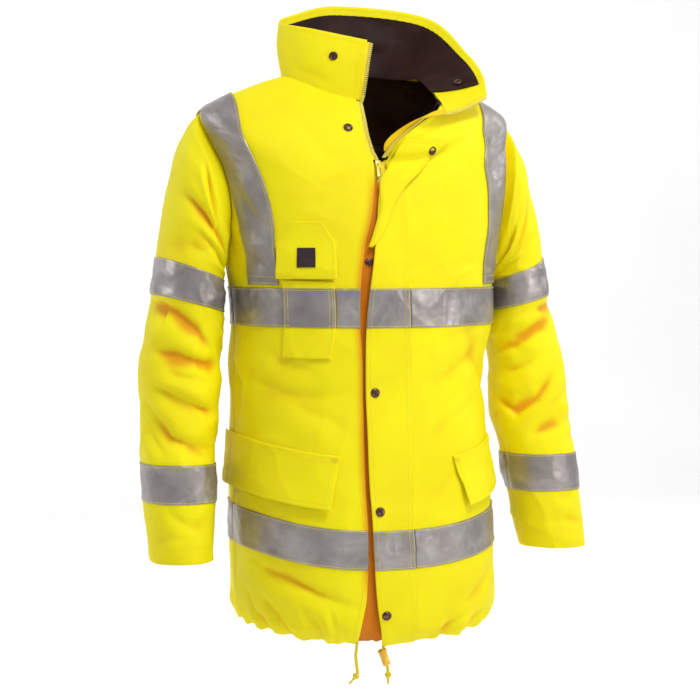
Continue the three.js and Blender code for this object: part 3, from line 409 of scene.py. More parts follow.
def coated_polyester(name, lit, shaded):
    """Fluorescent polyester of a close plain weave with a coated back. It is matt, a little uneven in
    colour, and shows its threads only close up. Shade is painted orange into its creases by a mesh mask."""
    finish = new_finish(name, lit, 0.64, specular=0.25)
    cloth = add_node(finish, "TexCoord", out="UV")
    blotch = add_node(finish, "TexNoise", {"Vector": cloth, "Scale": 9, "Detail": 4})
    even_tone = add_node(finish, "ValToRGB", {"Fac": blotch}, [(0.3, shaded), (0.7, lit)])
    # Painted shade: where the mesh's crease mask is high, in creases and beside the storm flap, the colour is
    # multiplied towards orange.
    crease_shade_mask = add_node(finish, "Attribute", out="Fac", attribute_name="crease_shade_mask")
    painted_crease_shade = add_node(finish, "ValToRGB", {"Fac": crease_shade_mask}, [(0.0, "FFFFFF"), (0.5, "FBE6BE"), (1.0, "F2B46E")])
    add_node(finish, "Mix", {"Factor": 1.0, 6: even_tone, 7: painted_crease_shade}, out=2, feeds="Base Color",
             data_type="RGBA", blend_type="MULTIPLY")
    rub = add_node(finish, "TexNoise", {"Vector": cloth, "Scale": 38, "Detail": 3})
    add_node(finish, "ValToRGB", {"Fac": rub}, [(0.25, 0.55), (0.75, 0.69)], feeds="Roughness")
    # Threads 0.55 mm apart, each way of the cloth. A wave of scale k has 20 k / (2 pi) rows to a unit.
    rows = 2 * math.pi / 20 / (0.55 * MM)
    warp = add_node(finish, "TexWave", {"Vector": cloth, "Scale": rows}, out="Fac", bands_direction="X")
    weft = add_node(finish, "TexWave", {"Vector": cloth, "Scale": rows}, out="Fac", bands_direction="Y")
    threads = add_node(finish, "Math", {0: warp, 1: weft}, operation="MAXIMUM")
    crumple = add_node(finish, "TexNoise", {"Vector": cloth, "Scale": 120, "Detail": 4})
    soft = add_node(finish, "Bump", {"Height": crumple, "Distance": 0.0007, "Strength": 0.4})
    add_node(finish, "Bump", {"Height": threads, "Distance": 0.0002, "Strength": 0.5, "Normal": soft},
             feeds="Normal")
    return finish


SHELL_CLOTH = coated_polyester("fluorescent_polyester", "FDF200", "F8E600")
# Copies of the shell cloth with painted shade: deeper yellow for the turned-out zip guard, and orange for the
# guard behind the front flap, as the cloth looks in shadow there
FACING_PAINTED_SHADE = coated_polyester("polyester_facing_painted_shade", "F9D400", "F0BC00")
GUARD_CLOTH_PAINTED_SHADE = coated_polyester("polyester_zip_guard_painted_shade", "E08400", "CC6E00")


def glass_bead_tape():
    """Retroreflective tape: tiny glass beads on a grey woven backing. It has a fine grain, a satin shine
    that turns bright where a facet of its creases faces the light, and crossing crease marks."""
    finish = new_finish("glass_bead_tape", "A39C9A", 0.36, metallic=0.55, specular=0.6)
    cloth = add_node(finish, "TexCoord", out="UV")
    # The beads are too fine to show, so their grain is drawn at about 0.6 mm.
    grain = add_node(finish, "TexNoise", {"Vector": cloth, "Scale": 1600, "Detail": 2, "Roughness": 0.7})
    # Facets about 20 mm wide, bent along their edges, as in tape that has been folded and smoothed out.
    bend = add_node(finish, "TexNoise", {"Vector": cloth, "Scale": 22, "Detail": 3})
    bent = add_node(finish, "MixRGB", {"Fac": 0.02, "Color1": cloth, "Color2": bend}, blend_type="ADD")
    facets = add_node(finish, "TexVoronoi", {"Vector": bent, "Scale": 36}, out="Distance", feature="F1")
    marks = add_node(finish, "TexVoronoi", {"Vector": bent, "Scale": 36}, out="Distance",
                     feature="DISTANCE_TO_EDGE")
    tone = add_node(finish, "Math", {0: grain, 1: 0.3, 2: bend}, operation="MULTIPLY_ADD")
    add_node(finish, "ValToRGB", {"Fac": tone}, [(0.4, "8E8785"), (0.65, "A09997"), (0.9, "B9B2B0")],
             feeds="Base Color")
    add_node(finish, "ValToRGB", {"Fac": marks}, [(0.0, 0.5), (0.12, 0.34)], feeds="Roughness")
    folded = add_node(finish, "Bump", {"Height": facets, "Distance": 0.005, "Strength": 0.3})
    creased = add_node(finish, "Bump", {"Height": marks, "Distance": 0.0012, "Strength": 0.2, "Normal": folded})
    add_node(finish, "Bump", {"Height": grain, "Distance": 0.0001, "Strength": 0.6, "Normal": creased},
             feeds="Normal")
    return finish


TAPE_CLOTH = glass_bead_tape()


def lining_taffeta():
    """Polyester taffeta over wadding: nearly black brown, with a soft silky sheen on its folds."""
    finish = new_finish("polyester_taffeta", "2B1815", 0.5, specular=0.12)
    cloth = add_node(finish, "TexCoord", out="UV")
    soft = add_node(finish, "TexNoise", {"Vector": cloth, "Scale": 30, "Detail": 4})
    add_node(finish, "ValToRGB", {"Fac": soft}, [(0.3, "26120F"), (0.7, "331C18")], feeds="Base Color")
    # Warp threads drawn 1.2 mm apart, because the real ones are too fine to show.
    warp = add_node(finish, "TexWave", {"Vector": cloth, "Scale": 260}, out="Fac", bands_direction="X")
    wadding = add_node(finish, "Bump", {"Height": soft, "Distance": 0.004, "Strength": 0.5})
    add_node(finish, "Bump", {"Height": warp, "Distance": 0.0001, "Strength": 0.3, "Normal": wadding},
             feeds="Normal")
    return finish


LINING_CLOTH = lining_taffeta()


def antiqued_brass():
    """Pressed brass with a dark red-brown antique finish, rubbed paler on its high places."""
    finish = new_finish("antiqued_brass", "6E4F45", 0.34, metallic=0.9)
    place = add_node(finish, "TexCoord", out="Object")
    worn = add_node(finish, "TexNoise", {"Vector": place, "Scale": 380, "Detail": 4, "Roughness": 0.6})
    add_node(finish, "ValToRGB", {"Fac": worn}, [(0.35, "3E2823"), (0.52, "6E4F45"), (0.75, "A58C7C")],
             feeds="Base Color")
    add_node(finish, "ValToRGB", {"Fac": worn}, [(0.3, 0.5), (0.7, 0.25)], feeds="Roughness")
    add_node(finish, "Bump", {"Height": worn, "Distance": 0.0002, "Strength": 0.3}, feeds="Normal")
    return finish


BRASS = antiqued_brass()


def baked_enamel():
    """Stove enamel in the cloth's yellow over a cast zip slider: glossy, with the metal dull at worn edges."""
    finish = new_finish("baked_enamel", "F2D21A", 0.28, specular=0.6)
    place = add_node(finish, "TexCoord", out="Object")
    wear = add_node(finish, "TexNoise", {"Vector": place, "Scale": 420, "Detail": 4})
    add_node(finish, "ValToRGB", {"Fac": wear}, [(0.3, "B88A1E"), (0.42, "EFD01C"), (0.8, "F8DE2A")],
             feeds="Base Color")
    add_node(finish, "ValToRGB", {"Fac": wear}, [(0.3, 0.5), (0.5, 0.26)], feeds="Roughness")
    return finish


ENAMEL = baked_enamel()


def sewing_thread():
    """Spun polyester thread, twisted, a little glossier than the cloth."""
    finish = new_finish("polyester_thread", "FFEC00", 0.5)
    place = add_node(finish, "TexCoord", out="Object")
    # The twist is drawn about 0.45 mm apart.
    slant = add_node(finish, "Mapping", {"Vector": place, "Rotation": (0.4, 0.5, 0.8)})
    twist = add_node(finish, "TexWave", {"Vector": slant, "Scale": 700}, out="Fac")
    fuzz = add_node(finish, "TexNoise", {"Vector": place, "Scale": 900})
    add_node(finish, "ValToRGB", {"Fac": fuzz}, [(0.3, "F7D800"), (0.7, "FFF11A")], feeds="Base Color")
    add_node(finish, "Bump", {"Height": twist, "Distance": 0.0001, "Strength": 0.6}, feeds="Normal")
    return finish


THREAD = sewing_thread()


def zip_tape_weave():
    """Woven polyester zip tape: ribbed across, a touch paler than the shell."""
    finish = new_finish("ribbed_zip_tape", "FFE81C", 0.6)
    cloth = add_node(finish, "TexCoord", out="UV")
    shade = add_node(finish, "TexNoise", {"Vector": cloth, "Scale": 40})
    add_node(finish, "ValToRGB", {"Fac": shade}, [(0.3, "F4DA10"), (0.7, "FFEA20")], feeds="Base Color")
    # Ribs 1.3 mm apart.
    ribs = add_node(finish, "TexWave", {"Vector": cloth, "Scale": 240}, out="Fac", bands_direction="Y")
    add_node(finish, "Bump", {"Height": ribs, "Distance": 0.0003, "Strength": 0.5}, feeds="Normal")
    return finish


def moulded_acetal():
    """Injection-moulded acetal of the zip's teeth: pale yellow, smooth and slightly waxy."""
    finish = new_finish("moulded_acetal", "F6E964", 0.35, specular=0.6)
    place = add_node(finish, "TexCoord", out="Object")
    wax = add_node(finish, "TexNoise", {"Vector": place, "Scale": 300})
    add_node(finish, "ValToRGB", {"Fac": wax}, [(0.3, "EEDD3C"), (0.7, "FBF284")], feeds="Base Color")
    add_node(finish, "ValToRGB", {"Fac": wax}, [(0.3, 0.3), (0.7, 0.42)], feeds="Roughness")
    return finish


ZIP_CLOTH, TEETH = zip_tape_weave(), moulded_acetal()


def braided_cord():
    """Braided polyester cord: two slanting sets of strands, with shade painted darker into the gaps between them.
    """
    finish = new_finish("braided_polyester", "F2DC10", 0.75)
    cloth = add_node(finish, "TexCoord", out="UV")
    # Strands 1.4 mm apart.
    slant = [add_node(finish, "Mapping", {"Vector": cloth, "Rotation": (0, 0, turn)}) for turn in (0.9, -0.9)]
    strands = [add_node(finish, "TexWave", {"Vector": v, "Scale": 224}, out="Fac") for v in slant]
    braid = add_node(finish, "Math", {0: strands[0], 1: strands[1]}, operation="MAXIMUM")
    # Painted shade: the gaps between the strands are coloured darker.
    add_node(finish, "ValToRGB", {"Fac": braid}, [(0.2, "C79A00"), (0.75, "FBE420")], feeds="Base Color")
    add_node(finish, "Bump", {"Height": braid, "Distance": 0.0006, "Strength": 0.8}, feeds="Normal")
    return finish


CORD_CLOTH = braided_cord()


def moulded_nylon():
    """Injection-moulded nylon of the cord lock: amber yellow and satin, with a faint flow in its colour."""
    finish = new_finish("moulded_nylon", "EFC02A", 0.38)
    place = add_node(finish, "TexCoord", out="Object")
    flow = add_node(finish, "TexNoise", {"Vector": place, "Scale": 120, "Detail": 2})
    add_node(finish, "ValToRGB", {"Fac": flow}, [(0.3, "E2A81C"), (0.7, "F8D44A")], feeds="Base Color")
    add_node(finish, "ValToRGB", {"Fac": flow}, [(0.3, 0.3), (0.7, 0.46)], feeds="Roughness")
    return finish


NYLON = moulded_nylon()


def twill_patch():
    """A bare woven patch: dark twill with close slanting ribs."""
    finish = new_finish("dark_twill", "2B191C", 0.8)
    cloth = add_node(finish, "TexCoord", out="UV")
    shade = add_node(finish, "TexNoise", {"Vector": cloth, "Scale": 60, "Detail": 3})
    add_node(finish, "ValToRGB", {"Fac": shade}, [(0.3, "25161A"), (0.7, "3A2327")], feeds="Base Color")
    # Ribs 0.9 mm apart.
    slant = add_node(finish, "Mapping", {"Vector": cloth, "Rotation": (0, 0, 0.78)})
    ribs = add_node(finish, "TexWave", {"Vector": slant, "Scale": 350}, out="Fac")
    add_node(finish, "Bump", {"Height": ribs, "Distance": 0.0003, "Strength": 0.7}, feeds="Normal")
    return finish


PATCH = twill_patch()


# Sewn pieces

def cloth_piece(name, outer, inner, uv, finish, nodes=(), closed=False, crease_shade_mask=None):
    """A wall of cloth between an outer and an inner grid of points in mm, with its rims closed. Rows run
    down and columns anticlockwise from above. A closed piece joins its last column to its first, and its
    UV grid has one column more. The crease mask says how far each point lies down in a crease, from 0 to
    1, and the cloth's material paints shade there."""
    rows, cols = outer.shape[:2]
    index = np.arange(rows * cols).reshape(rows, cols)
    if closed:
        index = np.concatenate([index, index[:, :1]], 1)
    spots = np.arange(rows * uv.shape[1]).reshape(rows, -1)
    size = rows * cols

    def quads(g):
        return np.stack([g[:-1, :-1], g[1:, :-1], g[1:, 1:], g[:-1, 1:]], -1).reshape(-1, 4)

    def rim(g, shift):
        borders = [g[0], g[-1][::-1]] + ([] if closed else [g[::-1, 0], g[:, -1]])
        return [np.stack([b[:-1], b[1:], b[1:] + shift, b[:-1] + shift], -1) for b in borders]

    faces = np.concatenate([quads(index), quads(index)[:, ::-1] + size] + rim(index, size))
    corners = np.concatenate([quads(spots), quads(spots)[:, ::-1]] + rim(spots, 0))
    verts = np.concatenate([outer.reshape(-1, 3), inner.reshape(-1, 3)]) * MM
    mesh = bpy.data.meshes.new(name)
    mesh.from_pydata(verts.tolist(), [], faces.tolist())
    mesh.materials.append(finish)
    mesh.uv_layers.new(name="cloth").data.foreach_set("uv", (uv.reshape(-1, 2) * MM)[corners].ravel())
    # The crease mask for the painted shade, on the outer face only
    deep = np.zeros(size) if crease_shade_mask is None else crease_shade_mask.ravel()
    mesh.attributes.new("crease_shade_mask", "FLOAT", "POINT").data.foreach_set("value", np.concatenate([deep, deep * 0]))
    mesh.polygons.foreach_set("use_smooth", [True] * len(faces))
    mesh.update()
    return settle(bpy.data.objects.new(name, mesh), nodes)


def settle(obj, nodes=(), body="jacket"):
    """Puts a piece on its body and the CAD nodes that it stands for."""
    if obj.name not in bpy.context.collection.objects:
        bpy.context.collection.objects.link(obj)
    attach(obj, body)
    if nodes:
        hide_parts(*nodes)
    return obj


def even(a, b, size, edge=1.0):
    """Places from a to b about size apart, with one more close to each end for the rolled edge."""
    count = max(2, round(abs(b - a) / size))
    close = min(edge / abs(b - a), 0.4 / count)
    u = np.linspace(0, 1, count + 1)
    return a + (b - a) * np.concatenate([[0, close], u[1:-1], [1 - close, 1]])


def faces_of(p, n, top, low, closed=False):
    """Outer and inner faces, drawn together at the free edges so that they look rolled."""
    edge = np.zeros(p.shape[:2])
    edge[[0, -1]] = 1
    if not closed:
        edge[:, [0, -1]] = 1
    pinch = edge * np.minimum(0.6, (np.asarray(top) - low) * 0.35)
    return p + n * (top - pinch)[..., None], p + n * (low + pinch)[..., None]


CELL = 3.3


def trunk_grid(rows, left, right, cell=CELL):
    """(s, t) over a panel of the trunk between two edge angles."""
    s = np.asarray(rows, float)[:, None]
    wide = float(np.max(right(s) - left(s))) * ROUND
    u = even(0, 1, cell / wide, 1.0 / wide)[None]
    t = left(s) + (right(s) - left(s)) * u
    return np.broadcast_to(s, t.shape), t


def trunk_piece(name, rows, left, right, top, low, finish, nodes, lift=None, cell=CELL, shade=None):
    """A piece of cloth on the trunk. lift adds height at each (s, t), and shade gives painted shade there
    where it lies under another piece. Crease depth is painted as shade too."""
    s, t = trunk_grid(rows, left, right, cell)
    p, n = trunk(s, t)
    if lift is not None:
        p = p + n * lift(s, t)[..., None]
    outer, inner = faces_of(p, n, top, low)
    # Painted shade: the deeper a crease, the more orange the cloth's colour.
    crease_shade_mask = 0.75 * smooth(1.0, 7.0, -trunk_relief(s, t))
    if shade is not None:
        crease_shade_mask = np.maximum(crease_shade_mask, shade(s, t))
    return cloth_piece(name, outer, inner, np.stack([t * ROUND, -s], -1), finish, nodes, crease_shade_mask=crease_shade_mask)


# Sewing threads are collected row by row and made together at the end.
STITCHES = []
PITCH = 3.2


def sew(points, normals, pitch=PITCH):
    """A row of stitches along a line of points on the cloth."""
    legs = np.linalg.norm(np.diff(points, axis=0), axis=1)
    run = np.concatenate([[0], np.cumsum(legs)])
    middles = np.arange(pitch / 2, run[-1] - pitch / 4, pitch)
    if len(middles) < 2:
        return
    at = np.stack([np.interp(middles, run, points[:, k]) for k in range(3)], -1)
    ahead = np.stack([np.interp(middles + 0.8, run, points[:, k]) for k in range(3)], -1)
    behind = np.stack([np.interp(middles - 0.8, run, points[:, k]) for k in range(3)], -1)
    up = np.stack([np.interp(middles, run, normals[:, k]) for k in range(3)], -1)
    along = ahead - behind
    along /= np.linalg.norm(along, axis=1, keepdims=True)
    up -= along * (up * along).sum(1, keepdims=True)
    up /= np.linalg.norm(up, axis=1, keepdims=True)
    STITCHES.append((at, along, np.cross(up, along), up))


def sew_trunk(s, t, height):
    s, t = np.broadcast_arrays(np.asarray(s, float), np.asarray(t, float))
    p, n = trunk(s, t)
    sew(p + n * np.asarray(height)[..., None] if np.ndim(height) else p + n * height, n)


# Cords: the drawcord's two free ends below the hem. Their routes repeat the solids'.

def tube(name, path, radius, finish, nodes=(), closed=False, around=16):
    """A round tube along a path in mm, with its ends closed. UVs run round and along it."""
    path = np.asarray(path, float)
    step = (np.roll(path, -1, 0) - np.roll(path, 1, 0)) if closed else np.gradient(path, axis=0)
    along = step / np.linalg.norm(step, axis=1, keepdims=True)
    side = np.cross(along[0], (0.0, 1.0, 0.0))
    sides = []
    for a in along:
        side = side - a * side.dot(a)
        side /= np.linalg.norm(side)
        sides.append(side)
    sides = np.array(sides)
    over = np.cross(along, sides)
    turn = np.linspace(0, 2 * math.pi, around, endpoint=False)
    radii = np.broadcast_to(np.asarray(radius, float), len(path))[:, None, None]
    ringed = sides[:, None] * np.cos(turn)[None, :, None] + over[:, None] * np.sin(turn)[None, :, None]
    verts = (path[:, None] + ringed * radii).reshape(-1, 3)
    count = len(path)
    run = np.concatenate([[0], np.cumsum(np.linalg.norm(np.diff(path, axis=0), axis=1))])
    faces, uvs = [], []
    for i in range(count if closed else count - 1):
        for j in range(around):
            k, m, up = (i + 1) % count, (j + 1) % around, i + 1
            faces.append((i * around + j, i * around + m, k * around + m, k * around + j))
            v0, v1 = run[i], run[up] if up < count else run[i] + 1
            uvs += [(j, v0), (j + 1, v0), (j + 1, v1), (j, v1)]
    if not closed:
        faces += [tuple(range(around))[::-1], tuple(range((count - 1) * around, count * around))]
        uvs += [(0, 0)] * around * 2
    mesh = bpy.data.meshes.new(name)
    mesh.from_pydata((verts * MM).tolist(), [], faces)
    mesh.materials.append(finish)
    girth = 2 * math.pi * float(np.max(radius)) / around
    mesh.uv_layers.new(name="cloth").data.foreach_set("uv", (np.array(uvs) * (girth, 1) * MM).ravel())
    mesh.polygons.foreach_set("use_smooth", [True] * len(faces))
    mesh.update()
    return settle(bpy.data.objects.new(name, mesh), nodes)


def curve_through(points, count):
    """Points evenly along a smooth curve through the given ones."""
    points = np.asarray(points, float)
    bends = np.linspace(0, len(points) - 1, len(points))
    table = through([(b, *p) for b, p in zip(bends, points)])
    u = np.linspace(0, len(points) - 1, count)
    return np.stack([table(u, k) for k in (1, 2, 3)], -1)


def overhand(name, top, lean_angle, nodes):
    """An overhand knot under a point, its cord crossing itself three times."""
    w = np.linspace(0, 2 * math.pi, 90, endpoint=False)
    flat = np.stack([np.sin(w) + 2 * np.sin(2 * w), -1.15 * np.sin(3 * w), np.cos(w) - 2 * np.cos(2 * w)], -1)
    flat = flat * (0.95, 1.1, 1.1)
    c, s = math.cos(lean_angle), math.sin(lean_angle)
    spun = np.stack([flat[:, 0] * c + flat[:, 2] * s, flat[:, 1], flat[:, 2] * c - flat[:, 0] * s], -1)
    centre = np.array(top) + (-4.6 * s, 0, -4.6 * c)
    return tube(name, centre + spun, 1.75, CORD_CLOTH, nodes, closed=True, around=12)


def node_box(name):
    low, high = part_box(name)
    return np.array(low) / MM, np.array(high) / MM


def make_cords():
    cord_radius = 2.0
    low, high = node_box("cord_right")
    x, z = (low[0] + high[0]) / 2, high[2]
    path = curve_through([(x + 0.8, -133, z + 4), (x + 0.6, -134, z), (x - 0.9, -134.6, z - 10),
                          (x - 0.9, -135, z - 20), (x + 1.1, -136, low[2])], 30)
    right = tube("drawcord_right", path, cord_radius, CORD_CLOTH, ("cord_right",))
    knot_top, lean_angle = path[-1] + (0, -0.2, 0.3), 0.75
    knot = overhand("drawcord_knot_right", knot_top, lean_angle, ("cord_knot_right",))
    end = knot_top + np.array((-math.sin(lean_angle), 0, -math.cos(lean_angle))) * 8.2
    tail = curve_through([end, end + (-3.1, 0, -3.2), end + (-6.4, 0, -6.2)], 12)
    tail_piece = tube("drawcord_tail_right", tail, 1.3, CORD_CLOTH)
    low, high = node_box("cord_left_upper")
    top = np.array([high[0] - 2.2, (low[1] + high[1]) / 2, high[2]])
    foot = np.array([low[0] + 2.2, top[1], low[2] + 0.4])
    upper = curve_through([top, (top + foot) / 2 + (0.4, 0, 0), foot], 16)
    lower_low, lower_high = node_box("cord_left_lower")
    out = np.array([lower_low[0] + 2.0, top[1], lower_high[2]])
    down = np.array([lower_high[0] - 2.0, top[1] - 0.3, lower_low[2]])
    inside = curve_through([foot, foot + (1.2, 0, -4), out + (-1.2, 0, 4), out], 16)
    lower = curve_through([out, mix(out, down, 0.5) + (0.3, 0, 0), down], 14)
    whole = np.concatenate([upper, inside[1:], lower[1:]])
    left = tube("drawcord_left", whole, cord_radius, CORD_CLOTH, ("cord_left_upper", "cord_left_lower"))
    knot = overhand("drawcord_knot_left", whole[-1] + (0, 0, 1.0), 0.0, ("cord_knot_left",))
    end = whole[-1] + (0, 0, -7.6)
    tail_piece = tube("drawcord_tail_left", curve_through([end, end + (0.2, 0, -3.5), end + (0.1, 0, -7.2)],
                                                          12), 1.3, CORD_CLOTH)
    lock = cord_lock(foot, out)


# Pressed and moulded pieces

def begin(kind, **settings):
    """A primitive on its own, with everything else deselected."""
    bpy.ops.object.select_all(action="DESELECT")
    getattr(bpy.ops.mesh, f"primitive_{kind}_add")(**settings)
    return bpy.context.object


def pick(obj, test, kind="FACE"):
    """In edit mode, selects the faces or edges whose middle and normal pass the test."""
    bpy.ops.object.mode_set(mode="EDIT")
    bpy.ops.mesh.select_mode(type=kind)
    bpy.ops.mesh.select_all(action="DESELECT")
    bpy.ops.object.mode_set(mode="OBJECT")
    mesh = obj.data
    if kind == "FACE":
        for face in mesh.polygons:
            face.select = test(face.center, face.normal)
    else:
        for edge in mesh.edges:
            a, b = (mesh.vertices[i].co for i in edge.vertices)
            edge.select = test((a + b) / 2, (b - a).normalized())
    bpy.ops.object.mode_set(mode="EDIT")


def finish_piece(obj, name, finish, nodes, at, up, across=(1, 0, 0), body="jacket", angle=35):
    """Names a modelled piece, turns its +Z to up and its +X near across, and leaves its place in its
    mesh. Sizes so far are in metres about the origin, and at is in mm."""
    bpy.ops.object.mode_set(mode="OBJECT")
    up = Vector(up).normalized()
    side = Vector(across)
    side = (side - up * side.dot(up)).normalized()
    other = up.cross(side)
    turn = Matrix((side, other, up)).transposed().to_4x4()
    obj.data.transform(Matrix.Translation(Vector(at) * MM) @ turn)
    obj.name = obj.data.name = name
    obj.data.materials.clear()
    obj.data.materials.append(finish)
    bpy.ops.object.select_all(action="DESELECT")
    obj.select_set(True)
    bpy.context.view_layer.objects.active = obj
    bpy.ops.object.shade_smooth_by_angle(angle=angle * RAD)
    return settle(obj, nodes, body)


def stud_head(steps, radius):
    """A pressed disc: its top face is inset and raised step by step."""
    obj = begin("cylinder", vertices=36, radius=radius * MM, depth=0.8 * MM, location=(0, 0, 0.4 * MM))
    pick(obj, lambda c, n: n.z > 0.9)
    for inset, rise in steps:
        bpy.ops.mesh.inset(thickness=inset * MM, depth=0)
        bpy.ops.transform.translate(value=(0, 0, rise * MM))
    bpy.ops.object.mode_set(mode="OBJECT")
    return obj


CAP_STEPS = [(0.35, 0.75), (0.8, 0.7), (1.2, 0.45), (1.6, 0.2), (1.1, 0.05)]
FLAT_STEPS = [(0.3, 0.4), (0.9, 0.35), (1.6, 0.15), (1.4, 0.03)]
SOCKET_STEPS = [(0.3, 0.7), (0.5, 0.45), (0.8, 0.08), (0.5, -0.3), (0.4, -0.9), (0.3, -0.4), (0.9, 0.0),
                (0.3, 0.35)]


def stud(name, steps, radius, place, normal, lift, nodes):
    place, normal = np.asarray(place, float), np.asarray(normal, float)
    at = place + normal * lift
    return finish_piece(stud_head(steps, radius), name, BRASS, nodes, at, normal)


def cord_lock(top, low):
    """The cord lock: a barrel with a collar at its upper end and a push button in it."""
    top, low = np.asarray(top, float), np.asarray(low, float)
    axis = (low - top) / np.linalg.norm(low - top)
    long = float(np.linalg.norm(low - top)) - 2.4
    barrel = begin("cylinder", vertices=40, radius=5.2 * MM, depth=long * MM)
    pick(barrel, lambda c, n: n.z > 0.9)
    bpy.ops.mesh.extrude_region_move(TRANSFORM_OT_translate={"value": (0, 0, 0.6 * MM)})
    bpy.ops.transform.resize(value=(1.16, 1.16, 1))
    bpy.ops.mesh.extrude_region_move(TRANSFORM_OT_translate={"value": (0, 0, 2.2 * MM)})
    bpy.ops.mesh.inset(thickness=0.6 * MM, depth=0)
    bpy.ops.transform.translate(value=(0, 0, 0.5 * MM))
    bpy.ops.mesh.inset(thickness=1.0 * MM, depth=0)
    bpy.ops.transform.translate(value=(0, 0, -1.2 * MM))
    pick(barrel, lambda c, n: n.z < -0.9)
    bpy.ops.mesh.inset(thickness=0.8 * MM, depth=0)
    bpy.ops.transform.translate(value=(0, 0, -0.7 * MM))
    bpy.ops.mesh.inset(thickness=0.9 * MM, depth=0)
    bpy.ops.transform.translate(value=(0, 0, 0.9 * MM))
    body = finish_piece(barrel, "cord_lock_barrel", NYLON, ("cord_lock",), (top + low) / 2, -axis)
    button = begin("cylinder", vertices=32, radius=2.9 * MM, depth=3.6 * MM)
    pick(button, lambda c, n: n.z > 0.9)
    bpy.ops.mesh.inset(thickness=0.5 * MM, depth=0)
    bpy.ops.transform.translate(value=(0, 0, 0.4 * MM))
    push = finish_piece(button, "cord_lock_button", NYLON, (), top + axis * 1.2 + (0, -1.9, 0), -axis)
    return [body, push]


# Trunk panels

def side_front(s):
    return 90 - 15 * np.sin(math.pi * np.clip((s - SHOULDER) / (UNDERARM - SHOULDER), 0, 1))


def side_back(s):
    return 90 + 26 * np.sin(math.pi * np.clip((s - SHOULDER) / (UNDERARM - SHOULDER), 0, 1))


right_edge = through([
    (0, -18), (38, -20), (64, -21), (88, -19), (SLIDER, -15), (130, -15.5), (158, -18), (216, -26),
    (274, -37), (336, -42.5), (405, -44), (453, -41), (577, -41), (647, -38), (725, -40), (766, -45),
    (HEM, -46),
])


def left_edge(s):
    x = np.where(s < SLIDER, 0, 8 * smooth(SLIDER - 5, 150, s))
    return np.maximum(0.4, angle_at(s, x))


def make_panels():
    # Painted shadow: the right front turns orange along its edge beside the storm flap, where the flap's shadow
    # falls.
    def painted_flap_shadow(s, t):
        from_edge = (angle_at(s, right_edge(s)) - t) * ROUND
        return smooth(11, 0, from_edge) * smooth(105, 170, s) * smooth(745, 690, s)

    rows = even(0, HEM, CELL)
    trunk_piece("front_panel_right", rows, lambda s: -side_front(s), lambda s: angle_at(s, right_edge(s)),
                0.0, -SHELL, SHELL_CLOTH, ("front_right",), shade=painted_flap_shadow)
    trunk_piece("front_panel_left", rows, left_edge, side_front, 0.0, -SHELL, SHELL_CLOTH,
                ("front_left",))
    trunk_piece("back_panel", rows, side_back, lambda s: 360 - side_back(s), 0.0, -SHELL, SHELL_CLOTH,
                ("back",))
    # Hem channel, front edge and side seams
    for t0, t1, count in ((-89, -22, 120), (14, 89, 130), (91, 269, 320)):
        t = np.linspace(t0, t1, count)
        sew_trunk(HEM - 24, t, 0.15)
    s = np.linspace(120, HEM - 3, 220)
    sew_trunk(s, angle_at(s, right_edge(s) - 6), 0.15)
    for side in (-1, 1):
        s = np.linspace(SHOULDER + 200, HEM - 3, 160)
        sew_trunk(s, side * 90 + 1.4, 0.15)
        s = np.linspace(4, 120, 40)
        sew_trunk(s, side * 90 + 2.0, 0.15)


# Sleeves

SLEEVE_RINGS = [
    (18, 227, 39, -70, 187, 8, -253.5, 66),
    (48, 243, 36, -104, 190, 9, -257, 69),
    (88, 254, 32, -150, 191, 10, -261, 70),
    (128, 265, 28, -196, 190, 12, -266, 69),
    (165, 274, 24, -241, 189, 14, -272, 67),
    (215, 280, 20, -290, 188, 12, -314, 65),
    (262, 290, 14, -345, 190, 8, -349, 62),
    (305, 300, 8, -389, 196, 4, -391, 60),
    (355, 299, 2, -440, 197, 0, -440, 58),
    (399, 301, -4, -485, 203, -6, -485, 56),
    (422, 301, -8, -508, 205, -10, -508, 55),
    (472, 300, -13, -558, 206, -15, -558, 53),
    (512, 297, -17, -600, 208, -19, -600, 50),
    (548, 293, -21, -636, 213, -23, -635, 46),
]
UPPER_TAPE = (165, 215)
LOWER_TAPE = (422, 472)
CUFF = 548
left_lean = through([
    (60, -6, 0), (139, -10, 0), (192, -12, -2), (246, -12, -5), (300, -10, -6), (353, -10, -7),
    (407, -9, -8), (460, -5, -11), (514, 1, -5), (567, 8, 2), (621, 18, 8), (645, 21, 10),
])
sleeve_ring = through(SLEEVE_RINGS)

RIGHT_SLEEVE_CREASES = [
    ([(22, 61), (30, 81), (38, 98), (46, 111)], 5, 3.5, 0.3),
    ([(85, 37), (78, 70), (61, 98), (41, 121), (32, 147)], 10, 4.0, 0.4),
    ([(120, 60), (105, 92), (92, 120), (75, 150)], 13, 3.0, 0.4),
    ([(150, 30), (140, 60), (128, 96)], 12, 1.6, 0.3),
    ([(220, 344), (228, 380), (247, 450), (269, 474)], 9, 3.0, 0.4),
    ([(222, 20), (230, 56), (247, 90), (269, 114)], 9, 4.0, 0.4),
    ([(277, 35), (282, 75), (291, 106), (297, 143)], 11, 4.5, 0.5),
    ([(305, 60), (312, 90), (318, 120)], 8, 2.6, 0.3),
    ([(321, 33), (334, 72), (350, 108), (356, 135)], 10, 4.5, 0.5),
    ([(341, 19), (365, 45), (386, 65), (396, 96), (401, 130)], 10, 4.2, 0.4),
    ([(372, 20), (392, 40), (412, 60)], 8, 2.4, 0.3),
    ([(484, 60), (496, 90), (500, 125)], 9, 2.2, 0.3),
    ([(520, 30), (512, 60), (518, 95)], 8, 1.8, 0.3),
    ([(70, 225), (110, 250), (150, 285)], 13, 4.5, 0.4),
    ([(240, 215), (256, 250), (262, 290)], 12, 3.5, 0.4),
    ([(300, 215), (325, 258), (350, 300)], 12, 4.5, 0.4),
    ([(360, 230), (346, 270), (330, 310)], 11, 4.0, 0.4),
    ([(386, 215), (396, 250), (392, 290)], 10, 2.8, 0.3),
    ([(490, 220), (502, 260), (498, 300)], 10, 2.4, 0.3),
]
